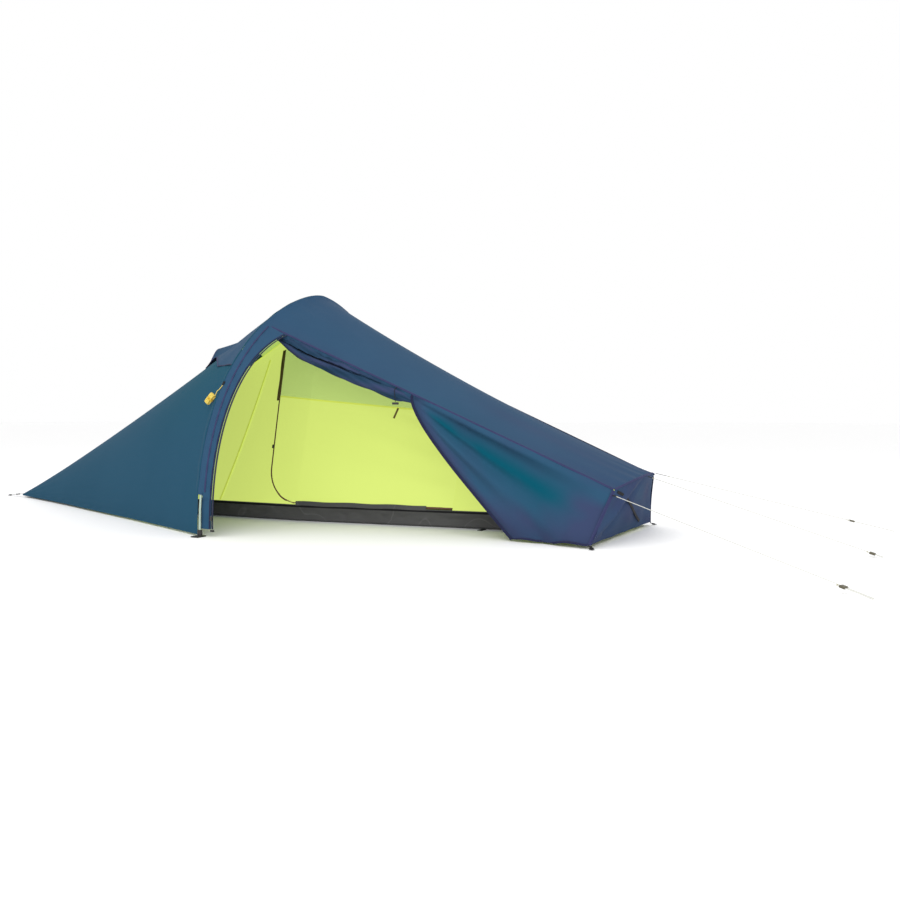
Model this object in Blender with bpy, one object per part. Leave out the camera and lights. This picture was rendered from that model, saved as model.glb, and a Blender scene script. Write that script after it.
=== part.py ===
"""Single-hoop one-person trekking tent, pitched. Metres, +Z up.

+X runs along the tent from the hoop to the foot end, +Y away from the door side.
The origin is on the ground under the middle of the hoop.
"""

import math

import bmesh
import bpy
import numpy as np
from mathutils import Matrix, Vector

# ---------------------------------------------------------------- driving dimensions
# hoop and fly
HOOP_HEIGHT = 1.000
HOOP_HALF_WIDTH = 0.784
HOOP_SIDE_POWER = 1.285
HOOP_TOP_POWER = 0.840
HEAD_LENGTH = 2.119
FOOT_LENGTH = 1.403
FOOT_HALF_WIDTH = 0.377
FOOT_TOP_SIDES = (-0.238, 0.267)
FOOT_HEIGHTS = (0.195, 0.217)
FOOT_CROWN = 0.029
FOOT_CORNER_LEAN = 0.042
FOOT_CROWN_LEAN = 0.045
SEAM_HALF_WIDTH = 0.390
HEM_HEIGHT = 0.014
HOOP_HEM_HEIGHT = 0.030
HEAD_HEM_HEIGHT = 0.008
HEAD_HOLLOW = 0.030
HEAD_HOLLOW_POWERS = (0.69, 0.87)
HEM_HOLLOW = 0.020
ROOF_HOLLOW = 0.038
ROOF_HOLLOW_POWERS = (0.86, 0.71)
FABRIC = 0.002
SEAM_GAP = 0.0012

# pole, sleeve and feet
POLE_RADIUS = 0.00475
POLE_WALL = 0.0007
POLE_SECTIONS = 7
INSERT_LENGTH = 0.030
INSERT_WALL = 0.0010
INSERT_CLEARANCE = 0.00025
SHOCK_CORD_RADIUS = 0.0012
SLEEVE_RADIUS = 0.0100
SLEEVE_WALL = 0.0022
SLEEVE_END_HEIGHT = 0.160
POLE_END_HEIGHT = 0.006
FOOT_CUP_RADIUS = 0.0095
FOOT_CUP_HEIGHT = 0.024
FOOT_PLATE = (0.036, 0.046, 0.0045)
CUP_CLEARANCE = 0.0006
PEG_HOLE_RADIUS = 0.0045

# door edge, zip and rolled door
BEHIND_POLE = 0.0230
BAND_WIDTH_LOW = 0.045
BAND_WIDTH_TOP = 0.100
CHAIN_WIDTH = 0.008
CHAIN_THICKNESS = 0.0030
SLIDER = (0.009, 0.006, 0.016)
ROLL_START = 0.120
ROLL_END = 0.622
DOOR_FREE_START = 0.664
ROLL_RADIUS_START = 0.033
ROLL_RADIUS_END = 0.026
TOGGLE_RADIUS = 0.0045
TOGGLE_LENGTH = 0.026
HEM_CORNER = (1.090, -0.330)
DOOR_SWELL = 0.038

# hood and vent
HOOD_HALF_WIDTH = 0.580
HOOD_REACH = 0.612
HOOD_CORNER_REACH = 0.565
HOOD_ARCH_REACH = 0.400
HOOD_SIDE_REACH = 0.190
HOOD_CORNER = 0.360
HOOD_ARCH = 0.560
HOOD_START = 0.300
HOOD_TAPER = 0.140
HOOD_LIFT = 0.090
HOOD_ARCH_LIFT = 0.030
HOOD_CLEARANCE = 0.0045
VENT_REACH = (0.175, 0.430)
VENT_SHARE = 0.085
STAY_RADIUS = 0.0025

# straps, rings and guy lines
WEBBING = 0.0016
EYE_WIDTH = 0.012
EYE_RADIUS = 0.0034
EYE_HEIGHT = 0.0046
EYE_CLEARANCE = 0.0005
RING_WIRE = 0.0030
RING_REACH = 0.0130
RING_CLEARANCE = 0.0006
RING_TILT = 0.16
HEAD_TIP_SHARE = 0.014
HEAD_STRAP_LENGTH = 0.118
FOOT_STRAP_LENGTH = 0.014
BUCKLE_CLEARANCE = 0.0012
CORD_RADIUS = 0.00125
RUNNER = (0.018, 0.016, 0.007)
RUNNER_HOLE = 0.0022
RUNNER_LANE = 0.0042
RUNNER_TAIL = 0.006
GUY_PEGS = ((2.304, -0.837), (2.297, -0.103), (2.307, 0.631))
GUY_LOOPS = (0.088, 0.032, 0.165)
GUY_TABS = (0.016, 0.016, 0.048)
GUY_GROUND_GAP = 0.0010

HEM_HOOK = (0.016, 0.006, 0.008)
FLOOR_LOOP_X = 0.855
FLOOR_LOOP_REACH = 0.042
FLOOR_LOOP_WIDTH = 0.020
STORM_TAB_HEIGHT = 0.590
HANK_RADIUS = 0.0125

# inner tent
INNER_HEAD_X = -0.800
INNER_FOOT_X = 1.300
FLOOR_WALL = 0.066
FLOOR_THICKNESS = 0.003
NEAR_EDGE_Y = (-0.215, -0.197, -0.010)
FAR_EDGE_Y = (0.400, 0.640, 0.335)
RIDGE_Y = (0.030, 0.000, 0.100)
RIDGE_Z = (0.500, 0.920, 0.235)
SHOULDER_Y = (0.270, 0.420, 0.240)
SHOULDER_Z = (0.370, 0.690, 0.190)
INNER_ZIP_X = -0.165
INNER_ZIP_LEAN = 0.065
INNER_DOOR_RIGHT = 0.720
DOOR_CORNER_RADIUS = 0.165
DOOR_TOP_SHARE = 0.935
RIDGE_GAP = 0.005
FLAP_WIDTH = 0.016
FLAP_LIFT = 0.0045
DOOR_TIE_X = 0.420
DOOR_TIE_LENGTH = 0.045
DOOR_TIE_LIFT = 0.0030
MESH_EDGE_Z = (0.545, 0.463)

COLORS = {
    "fly": ((0.046, 0.092, 0.160), 0.55, 0.0),
    "lime": ((0.560, 0.740, 0.170), 0.70, 0.0),
    "mesh": ((0.330, 0.420, 0.110), 0.80, 0.0),
    "groundsheet": ((0.040, 0.040, 0.043), 0.60, 0.0),
    "alloy": ((0.620, 0.620, 0.600), 0.35, 1.0),
    "webbing": ((0.012, 0.012, 0.013), 0.85, 0.0),
    "plastic": ((0.015, 0.015, 0.016), 0.45, 0.0),
    "zip": ((0.210, 0.075, 0.045), 0.65, 0.0),
    "fly_zip": ((0.020, 0.028, 0.050), 0.65, 0.0),
    "cord": ((0.780, 0.720, 0.280), 0.75, 0.0),
    "runner": ((0.120, 0.110, 0.050), 0.45, 0.0),
    "elastic": ((0.700, 0.700, 0.690), 0.80, 0.0),
}


# ---------------------------------------------------------------- building blocks
def material(kind):
    found = bpy.data.materials.get(kind)
    if found:
        return found
    color, roughness, metallic = COLORS[kind]
    made = bpy.data.materials.new(kind)
    made.use_nodes = True
    shader = made.node_tree.nodes["Principled BSDF"]
    shader.inputs["Base Color"].default_value = (*color, 1.0)
    shader.inputs["Roughness"].default_value = roughness
    shader.inputs["Metallic"].default_value = metallic
    made.diffuse_color = (*color, 1.0)
    return made


def object_from(name, verts, faces, kind, smooth=False):
    mesh = bpy.data.meshes.new(name)
    mesh.from_pydata([tuple(map(float, v)) for v in verts], [], faces)
    bm = bmesh.new()
    bm.from_mesh(mesh)
    bmesh.ops.recalc_face_normals(bm, faces=bm.faces)
    bmesh.ops.triangulate(bm, faces=[f for f in bm.faces if len(f.verts) == 4])
    bm.to_mesh(mesh)
    bm.free()
    mesh.materials.append(material(kind))
    if smooth:
        mesh.shade_smooth()
        mesh.set_sharp_from_angle(angle=math.radians(40))
    made = bpy.data.objects.new(name, mesh)
    bpy.context.collection.objects.link(made)
    return made


def grid_normals(grid):
    along = np.gradient(grid, axis=0)
    across = np.gradient(grid, axis=1)
    normals = np.cross(along, across)
    return normals / np.linalg.norm(normals, axis=2, keepdims=True)


def sheet(name, grid, kind, holes=None, thickness=FABRIC):
    """A closed slab around a grid of points; holes marks the cells that are left open."""
    grid = np.asarray(grid, float)
    rows, cols = grid.shape[:2]
    normals = grid_normals(grid)
    outer = (grid + normals * thickness / 2).reshape(-1, 3)
    inner = (grid - normals * thickness / 2).reshape(-1, 3)
    count = rows * cols
    cells = [
        (i, j)
        for i in range(rows - 1)
        for j in range(cols - 1)
        if holes is None or not holes(i, j)
    ]
    faces = []
    edges = {}
    for i, j in cells:
        corner = [i * cols + j, (i + 1) * cols + j, (i + 1) * cols + j + 1, i * cols + j + 1]
        faces.append(corner)
        faces.append([count + k for k in reversed(corner)])
        for a, b in zip(corner, corner[1:] + corner[:1]):
            edges[(a, b)] = edges.get((a, b), 0) + 1
    for a, b in edges:
        if (b, a) not in edges:
            faces.append([b, a, count + a, count + b])
    used = sorted({k for f in faces for k in f})
    place = {k: n for n, k in enumerate(used)}
    verts = np.vstack([outer, inner])[used]
    return object_from(name, verts, [[place[k] for k in f] for f in faces], kind, smooth=True)


def loft(name, rings, kind, closed=False, smooth=True):
    """Joins rings of points in order; the ends are capped, or joined up when closed."""
    rings = [list(r) for r in rings]
    sides = len(rings[0])
    verts = [p for ring in rings for p in ring]
    faces = []
    last = len(rings) if closed else len(rings) - 1
    for k in range(last):
        a = k * sides
        b = ((k + 1) % len(rings)) * sides
        for i in range(sides):
            j = (i + 1) % sides
            faces.append([a + i, a + j, b + j, b + i])
    if not closed:
        faces.append(list(range(sides))[::-1])
        faces.append([(len(rings) - 1) * sides + i for i in range(sides)])
    return object_from(name, verts, faces, kind, smooth)


def frames(points):
    """Unit tangent and two normals at each point of a path, without twist."""
    points = np.asarray(points, float)
    tangents = np.gradient(points, axis=0)
    tangents /= np.linalg.norm(tangents, axis=1, keepdims=True)
    normal = np.cross(tangents[0], (0.0, 0.0, 1.0))
    if np.linalg.norm(normal) < 0.1:
        normal = np.cross(tangents[0], (1.0, 0.0, 0.0))
    result = []
    for t in tangents:
        normal = normal - t * np.dot(normal, t)
        normal = normal / np.linalg.norm(normal)
        result.append((t, normal, np.cross(t, normal)))
    return result


def rod(name, points, radii, kind, sides=12):
    points = np.asarray(points, float)
    radii = np.broadcast_to(radii, len(points))
    turns = [2 * math.pi * i / sides for i in range(sides)]
    rings = [
        [p + r * (math.cos(w) * n + math.sin(w) * b) for w in turns]
        for p, r, (_, n, b) in zip(points, radii, frames(points))
    ]
    return loft(name, rings, kind)


def ribbon(name, points, normals, width, thickness, kind):
    """A flat strip that follows points, with its face towards the normals."""
    points = np.asarray(points, float)
    tangents = np.gradient(points, axis=0)
    rings = []
    for p, t, n in zip(points, tangents, normals):
        t = t / np.linalg.norm(t)
        side = np.cross(n, t)
        side /= np.linalg.norm(side)
        face = np.cross(t, side)
        rings.append(
            [
                p + sx * side * width / 2 + sn * face * thickness / 2
                for sx, sn in ((-1, -1), (1, -1), (1, 1), (-1, 1))
            ]
        )
    return loft(name, rings, kind, smooth=False)


def block(name, size, kind, bevel=0.0, segments=2):
    bm = bmesh.new()
    bmesh.ops.create_cube(bm, size=1.0)
    bmesh.ops.scale(bm, vec=Vector(size), verts=bm.verts)
    if bevel:
        bmesh.ops.bevel(
            bm, geom=list(bm.edges), offset=bevel, segments=segments, affect="EDGES", profile=0.5
        )
    mesh = bpy.data.meshes.new(name)
    bm.to_mesh(mesh)
    bm.free()
    mesh.materials.append(material(kind))
    made = bpy.data.objects.new(name, mesh)
    bpy.context.collection.objects.link(made)
    return made


def cylinder(name, radius, depth, kind, sides=24):
    bm = bmesh.new()
    bmesh.ops.create_cone(
        bm, cap_ends=True, segments=sides, radius1=radius, radius2=radius, depth=depth
    )
    mesh = bpy.data.meshes.new(name)
    bm.to_mesh(mesh)
    bm.free()
    mesh.materials.append(material(kind))
    mesh.shade_smooth()
    mesh.set_sharp_from_angle(angle=math.radians(40))
    made = bpy.data.objects.new(name, mesh)
    bpy.context.collection.objects.link(made)
    return made


def combine(target, tool, operation):
    """Joins a helper to the target or cuts it out, and hides the helper."""
    step = target.modifiers.new(tool.name, "BOOLEAN")
    step.operation = operation
    step.object = tool
    step.solver = "EXACT"
    tool.hide_render = True
    tool.display_type = "WIRE"


def aim(obj, place, direction, up=(0.0, 0.0, 1.0)):
    """Puts an object at place with its X axis along direction and its Z axis near up."""
    x = Vector(direction).normalized()
    z = Vector(up) - x * Vector(up).dot(x)
    z.normalize()
    y = z.cross(x)
    turn = Matrix((x, y, z)).transposed().to_4x4()
    obj.matrix_world = Matrix.Translation(Vector(place)) @ turn


def lerp(a, b, t):
    return np.asarray(a, float) * (1 - t) + np.asarray(b, float) * t


def smooth_path(points, count):
    """Points at even spacing on a smooth curve through the given ones."""
    points = np.asarray(points, float)
    padded = np.vstack([2 * points[0] - points[1], points, 2 * points[-1] - points[-2]])
    dense = []
    for k in range(1, len(padded) - 2):
        p0, p1, p2, p3 = padded[k - 1 : k + 3]
        for s in np.linspace(0, 1, 24, endpoint=False):
            dense.append(
                0.5
                * (
                    2 * p1
                    + (p2 - p0) * s
                    + (2 * p0 - 5 * p1 + 4 * p2 - p3) * s**2
                    + (3 * p1 - p0 - 3 * p2 + p3) * s**3
                )
            )
    dense.append(points[-1])
    dense = np.array(dense)
    run = np.concatenate([[0], np.cumsum(np.linalg.norm(np.diff(dense, axis=0), axis=1))])
    stops = np.linspace(0, run[-1], count)
    return np.stack([np.interp(stops, run, dense[:, k]) for k in range(3)], axis=1)


def cord(name, points, radius, kind):
    curve = bpy.data.curves.new(name, "CURVE")
    curve.dimensions = "3D"
    curve.bevel_depth = radius
    curve.bevel_resolution = 2
    curve.use_fill_caps = True
    spline = curve.splines.new("POLY")
    spline.points.add(len(points) - 1)
    for spot, p in zip(spline.points, points):
        spot.co = (*map(float, p), 1.0)
    curve.materials.append(material(kind))
    made = bpy.data.objects.new(name, curve)
    bpy.context.collection.objects.link(made)
    return made


# ---------------------------------------------------------------- the hoop's curve
def hoop_outline(samples=1441):
    """Outer line of the hoop from the near foot over the top to the far foot."""
    t = np.linspace(0, math.pi, samples)
    c = np.cos(t)
    y = -HOOP_HALF_WIDTH * np.sign(c) * np.abs(c) ** HOOP_SIDE_POWER
    z = HOOP_HEIGHT * np.abs(np.sin(t)) ** HOOP_TOP_POWER
    line = np.stack([y, z], axis=1)
    run = np.concatenate([[0], np.cumsum(np.linalg.norm(np.diff(line, axis=0), axis=1))])
    stops = np.linspace(0, run[-1], 401)
    even = np.stack([np.interp(stops, run, line[:, k]) for k in (0, 1)], axis=1)
    return even, run[-1]


HOOP, HOOP_RUN = hoop_outline()
HOOP_SHARE = np.linspace(0, 1, len(HOOP))


def hoop_slope(share):
    step = 0.006
    a = [np.interp(np.clip(share - step, 0, 1), HOOP_SHARE, HOOP[:, k]) for k in (0, 1)]
    b = [np.interp(np.clip(share + step, 0, 1), HOOP_SHARE, HOOP[:, k]) for k in (0, 1)]
    slope = np.array(b) - np.array(a)
    return slope / np.linalg.norm(slope)


def hoop_normal(share):
    slope = hoop_slope(share)
    return np.array([0.0, -slope[1], slope[0]])


def hoop_point(share, offset=0.0, x=0.0):
    """Point on the hoop's outer line, moved outwards by offset."""
    y = np.interp(share, HOOP_SHARE, HOOP[:, 0])
    z = np.interp(share, HOOP_SHARE, HOOP[:, 1])
    return np.array([x, y, z]) + offset * hoop_normal(share)


def share_at_height(height):
    half = len(HOOP) // 2
    return float(np.interp(height, HOOP[:half, 1], HOOP_SHARE[:half]))


def share_at_side(side):
    half = len(HOOP) // 2
    return float(np.interp(-side, HOOP[: half + 1, 0], HOOP_SHARE[: half + 1]))


HEM_SHARE = share_at_height(HOOP_HEM_HEIGHT)
SEAM_SHARE = share_at_side(SEAM_HALF_WIDTH)
HOOD_SHARE = share_at_side(HOOD_HALF_WIDTH)
SLEEVE_SHARE = share_at_height(SLEEVE_END_HEIGHT)
GAP_SHARE = SEAM_GAP / HOOP_RUN
PANEL_START = SLEEVE_RADIUS + SEAM_GAP
PANEL_OFFSET = -0.8 * SLEEVE_RADIUS


# ---------------------------------------------------------------- pole
def pole_ring(share, radius, sides=12):
    centre = hoop_point(share, -SLEEVE_RADIUS)
    out = hoop_normal(share)
    side = np.array([1.0, 0.0, 0.0])
    turns = [2 * math.pi * i / sides for i in range(sides)]
    return [centre + radius * (math.cos(w) * out + math.sin(w) * side) for w in turns]


def pole_stations():
    """Joint positions, and every place where a pole piece has a ring of points."""
    first = share_at_height(POLE_END_HEIGHT)
    joints = np.linspace(first, 1 - first, POLE_SECTIONS + 1)
    insert = INSERT_LENGTH / HOOP_RUN
    marks = set(np.round(np.linspace(first, 1 - first, POLE_SECTIONS * 4 + 1), 6))
    for j in joints[1:-1]:
        marks |= {round(j - insert, 6), round(j + insert, 6)}
    return joints, np.array(sorted(marks)), insert


def build_pole():
    joints, marks, insert = pole_stations()
    bore = POLE_RADIUS - POLE_WALL
    stub = bore - INSERT_CLEARANCE
    stub_bore = stub - INSERT_WALL
    half_gap = SEAM_GAP / 4 / HOOP_RUN
    for n in range(POLE_SECTIONS):
        start, end = joints[n], joints[n + 1]
        last = n == POLE_SECTIONS - 1
        body = [s for s in marks if start + 1e-5 < s < end - 1e-5]
        outer = [(start + half_gap, POLE_RADIUS)]
        outer += [(s, POLE_RADIUS) for s in body]
        outer += [(end - half_gap, POLE_RADIUS)]
        inner = [(start + half_gap, bore)]
        if last:
            inner += [(s, bore) for s in body]
            inner += [(end - half_gap, bore)]
        else:
            outer += [(end - half_gap, stub), (end + insert - half_gap, stub)]
            inner += [(s, bore) for s in body if s < end - insert + 1e-5]
            inner += [(end - insert, stub_bore)]
            inner += [(end, stub_bore), (end + insert - half_gap, stub_bore)]
        rings = [pole_ring(s, r) for s, r in outer + inner[::-1]]
        loft(f"pole_section_{n + 1}", rings, "alloy", closed=True)


def build_shock_cord():
    joints, marks, _ = pole_stations()
    inset = 0.004
    ends = (joints[0] + inset, joints[-1] - inset)
    stops = [ends[0]] + [s for s in marks if ends[0] < s < ends[1]] + [ends[1]]
    loft("shock_cord", [pole_ring(s, SHOCK_CORD_RADIUS, 8) for s in stops], "elastic")


def build_sleeve():
    lo, hi = SLEEVE_SHARE, 1 - SLEEVE_SHARE
    stops = np.linspace(lo, hi, 29)
    outer = [pole_ring(s, SLEEVE_RADIUS, 12) for s in stops]
    inner = [pole_ring(s, SLEEVE_RADIUS - SLEEVE_WALL, 12) for s in reversed(stops)]
    loft("pole_sleeve", outer + inner, "fly", closed=True)


def build_pole_foot(name, side):
    """A cup that takes the pole's end, on a plate with a peg hole outside it."""
    share = share_at_height(POLE_END_HEIGHT)
    if side > 0:
        share = 1 - share
    seat = hoop_point(share, -SLEEVE_RADIUS)
    slope = hoop_point(share + (0.012 if side < 0 else -0.012), -SLEEVE_RADIUS) - seat
    slope /= np.linalg.norm(slope)
    width, length, thick = FOOT_PLATE
    plate = block(name, (width, length, thick), "plastic", bevel=0.0012)
    plate.location = (0.0, seat[1] + side * 0.008, thick / 2)
    cup = cylinder(f"{name}_cup", FOOT_CUP_RADIUS, FOOT_CUP_HEIGHT, "plastic")
    cup.location = (0.0, seat[1], thick / 2 + FOOT_CUP_HEIGHT / 2)
    combine(plate, cup, "UNION")
    bore = cylinder(f"{name}_bore", POLE_RADIUS + CUP_CLEARANCE, 0.08, "plastic")
    bore.matrix_world = Matrix.Translation(
        Vector(seat - slope * CUP_CLEARANCE + slope * 0.04)
    ) @ Vector(slope).to_track_quat("Z", "Y").to_matrix().to_4x4()
    combine(plate, bore, "DIFFERENCE")
    hole = cylinder(f"{name}_hole", PEG_HOLE_RADIUS, 0.03, "plastic", 16)
    hole.location = (0.0, seat[1] + side * 0.0215, 0.0)
    combine(plate, hole, "DIFFERENCE")


# ---------------------------------------------------------------- fly sheet
def foot_side_edge(share, side):
    """Edge between a side and the end wall, from the hem (0) to the roof (1)."""
    low = np.array([FOOT_LENGTH, FOOT_HALF_WIDTH * side, HEM_HEIGHT])
    which = 0 if side < 0 else 1
    high = np.array(
        [FOOT_LENGTH + FOOT_CORNER_LEAN, FOOT_TOP_SIDES[which], FOOT_HEIGHTS[which]]
    )
    return lerp(low, high, share)


def foot_top_edge(share):
    """Edge between the roof and the end wall, from near (0) to far (1)."""
    flat = lerp(foot_side_edge(1, -1), foot_side_edge(1, 1), share)
    rise = 1 - (2 * share - 1) ** 2
    return flat + rise * np.array([FOOT_CROWN_LEAN, 0.0, FOOT_CROWN])


def side_point(share, along, side):
    """Side of the fly: share goes from hem to roof seam, along from hoop to end wall."""
    s = HEM_SHARE + (SEAM_SHARE - HEM_SHARE) * share
    near = hoop_point(s, PANEL_OFFSET)
    start = near if side < 0 else near * (1, -1, 1)
    return lerp(start, foot_side_edge(share, side), along)


def side_at_x(share, x, side):
    end = foot_side_edge(share, side)[0]
    return side_point(share, x / end, side)


def hollow_curve(run, powers):
    """Depth of a hollow-cut panel along its run: 0 at both ends and 1 at the deepest."""
    rise, fall = powers
    peak = rise / (rise + fall)
    deepest = peak**rise * (1 - peak) ** fall
    return run**rise * (1 - run) ** fall / deepest


def roof_point(across, along):
    s = SEAM_SHARE + (1 - 2 * SEAM_SHARE) * across
    taut = lerp(hoop_point(s, PANEL_OFFSET), foot_top_edge(across), along)
    sag = hollow_curve(along, ROOF_HOLLOW_POWERS)
    hollow = ROOF_HOLLOW * sag * math.sin(math.pi * across) ** 0.7
    return taut - hoop_normal(s) * hollow


def build_roof():
    lo = SEAM_GAP / 2 / (2 * SEAM_HALF_WIDTH)
    rows = np.linspace(lo, 1 - lo, 23)
    cols = np.linspace(0, 1, 10)
    start = PANEL_START / (FOOT_LENGTH + FOOT_CORNER_LEAN)
    stop = 1 - 0.0035 / FOOT_LENGTH
    grid = [[roof_point(r, start + (stop - start) * c) for c in cols] for r in rows]
    sheet("fly_roof", grid, "fly")


def build_far_side():
    rows = np.linspace(0, 1 - 2 * SEAM_GAP, 11)
    cols = np.linspace(0, 1, 11)
    start = PANEL_START / FOOT_LENGTH
    stop = 1 - 0.0035 / FOOT_LENGTH
    grid = [[side_point(r, start + (stop - start) * c, 1) for c in cols] for r in rows]
    sheet("fly_side_far", grid, "fly")


def build_end_wall():
    rows = np.linspace(0, 1, 7)
    cols = np.linspace(0, 1, 13)
    grid = []
    for b in rows:
        line = []
        for c in cols:
            flat = lerp(foot_side_edge(b, -1), foot_side_edge(b, 1), c)
            crown = foot_top_edge(c) - lerp(foot_side_edge(1, -1), foot_side_edge(1, 1), c)
            line.append(flat + crown * b + np.array([0.0015, 0.0, 0.0]))
        grid.append(line)
    sheet("fly_end_wall", grid, "fly")


def head_point(share, reach):
    """Head cone: reach is 0 at the head peg and 1 at the hoop; the cloth is hollow-cut."""
    tip = np.array([-HEAD_LENGTH, 0.0, HEAD_HEM_HEIGHT])
    edge = hoop_point(share, PANEL_OFFSET, -PANEL_START)
    depth = HEM_HOLLOW + (HEAD_HOLLOW - HEM_HOLLOW) * math.sin(math.pi * share)
    hollow = depth * hollow_curve(reach, HEAD_HOLLOW_POWERS)
    place = lerp(tip, edge, reach) - hoop_normal(share) * hollow
    place[2] = max(place[2], HEAD_HEM_HEIGHT * 0.9)
    return place


def head_rows():
    """Hoop shares of the cone's rows; the middle ones frame the vent."""
    side = np.linspace(share_at_height(HEAD_HEM_HEIGHT), 0.5 - VENT_SHARE, 12)
    middle = np.linspace(0.5 - VENT_SHARE, 0.5 + VENT_SHARE, 9)
    return np.concatenate([side[:-1], middle, 1 - side[::-1][1:]])


def head_cols():
    vent = [1 - r / HEAD_LENGTH for r in reversed(VENT_REACH)]
    low = np.linspace(HEAD_TIP_SHARE, vent[0], 8)
    return np.concatenate([low[:-1], np.linspace(vent[0], vent[1], 3), [0.955, 1.0]])


def build_head():
    rows, cols = head_rows(), head_cols()
    grid = [[head_point(s, r) for r in cols] for s in rows]

    def vent(i, j):
        return 11 <= i < 19 and 7 <= j < 9

    sheet("fly_head", grid, "fly", holes=vent)
    shares = rows[11:20].copy()
    shares[0] += 3 * GAP_SHARE
    shares[-1] -= 3 * GAP_SHARE
    reaches = cols[7:10].copy()
    reaches[0] += SEAM_GAP / HEAD_LENGTH
    reaches[-1] -= SEAM_GAP / HEAD_LENGTH
    sheet("vent_mesh", [[head_point(s, r) for r in reaches] for s in shares], "mesh")


def hood_point(share, across, down):
    """Hood: across runs -1 to 1 over the ridge, down 0 at the hoop to 1 at the front lip."""
    stops = (0.0, HOOD_CORNER, HOOD_ARCH, 1.0)
    reaches = (HOOD_REACH, HOOD_CORNER_REACH, HOOD_ARCH_REACH, HOOD_SIDE_REACH)
    lip = float(np.interp(abs(across), stops, reaches))
    x = -PANEL_START - (lip - PANEL_START) * down
    reach = (x + HEAD_LENGTH) / (HEAD_LENGTH - PANEL_START)
    swing = math.pi / 2 * min(abs(across) / HOOD_CORNER, 1.0)
    run = (-x - HOOD_START) / (HOOD_REACH - HOOD_START)
    lift = HOOD_LIFT * math.cos(swing) ** 2 * max(run, 0.0)
    past = (abs(across) - HOOD_CORNER) / (2 * (HOOD_ARCH - HOOD_CORNER))
    if 0 < past < 1:
        lift += HOOD_ARCH_LIFT * math.sin(math.pi * past) ** 2 * max(run, 0.0)
    base = head_point(share, reach) + hoop_normal(share) * HOOD_CLEARANCE
    return base + np.array([0.0, 0.0, lift])


def build_hood():
    grid = []
    for across in np.linspace(-1, 1, 25):
        line = []
        for down in np.linspace(0, 1, 9):
            share = 0.5 + (0.5 - HOOD_SHARE) * across * (1 - HOOD_TAPER * down)
            line.append(hood_point(share, across, down))
        grid.append(line)
    sheet("vent_hood", grid, "fly")


def build_stay():
    """A short prop from the cone's ridge to the hood's peak."""
    inset = 0.016
    x = -HOOD_REACH + inset
    base = head_point(0.5, (x + HEAD_LENGTH) / (HEAD_LENGTH - PANEL_START))
    top = hood_point(0.5, 0.0, (HOOD_REACH - inset - PANEL_START) / (HOOD_REACH - PANEL_START))
    foot = base + np.array([0.0, 0.0, FABRIC / 2 + STAY_RADIUS * 1.3])
    head = top - np.array([0.0, 0.0, FABRIC / 2 + STAY_RADIUS * 0.6])
    rod("vent_stay", [lerp(foot, head, k) for k in (0, 0.5, 1)], STAY_RADIUS, "plastic", 8)


def band_edge(share):
    """Distance of the door's edge from the hoop at a share of the side's height."""
    return BAND_WIDTH_LOW + (BAND_WIDTH_TOP - BAND_WIDTH_LOW) * share**6


def build_band():
    """Strip between the sleeve and the door's zip, running behind the bare pole end."""
    seam_span = SEAM_SHARE - HEM_SHARE
    sleeve = (SLEEVE_SHARE - HEM_SHARE) / seam_span
    step = 0.007 / (seam_span * HOOP_RUN)
    low = list(np.linspace(0, sleeve - 3 * step, 4))
    high = list(np.linspace(sleeve - step, 1 - 2 * SEAM_GAP, 17))
    grid = []
    for r in low + [sleeve - 2 * step] + high:
        behind = r < sleeve - 1.5 * step
        x0 = -PANEL_START + SEAM_GAP if r < sleeve - 2.5 * step else PANEL_START
        depth = -BEHIND_POLE if behind else PANEL_OFFSET
        line = []
        for c in np.linspace(0, 1, 5):
            x = x0 + (band_edge(r) - x0) * c
            place = side_at_x(r, x, -1)
            drop = (depth - PANEL_OFFSET) * (1 - c) ** 2
            s = HEM_SHARE + seam_span * r
            line.append(place + hoop_normal(s) * drop)
        grid.append(line)
    sheet("door_edge_band", grid, "fly")


def zip_line(share):
    x = band_edge(share) + CHAIN_WIDTH / 2 + SEAM_GAP
    s = HEM_SHARE + (SEAM_SHARE - HEM_SHARE) * share
    return side_at_x(share, x, -1), hoop_normal(s)


def build_fly_zip():
    stops = np.linspace(0.0, 0.985, 26)
    places, normals = zip(*[zip_line(s) for s in stops])
    ribbon("fly_zip_chain", places, normals, CHAIN_WIDTH, CHAIN_THICKNESS, "fly_zip")
    seat, out = zip_line(0.045)
    ahead, _ = zip_line(0.30)
    slider = block("fly_zip_slider", (SLIDER[2], SLIDER[0], SLIDER[1]), "plastic", bevel=0.0012)
    lift = CHAIN_THICKNESS / 2 + SLIDER[1] / 2 + 0.0020
    aim(slider, seat + out * lift, ahead - seat, up=out)


def build_hem_hook():
    """Small hook at the foot of the zip that takes the door's hem."""
    foot, _ = zip_line(0.0)
    hook = block("door_hem_hook", HEM_HOOK, "plastic", bevel=0.0012)
    drop = HEM_HOOK[2] / 2 + 0.0022
    hook.location = (foot[0], foot[1], foot[2] - drop)


def seam_at_x(x, drop=0.0):
    """Point on the near roof seam, or on the side just below it."""
    place = side_at_x(1 - drop, x, -1)
    return place


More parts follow.
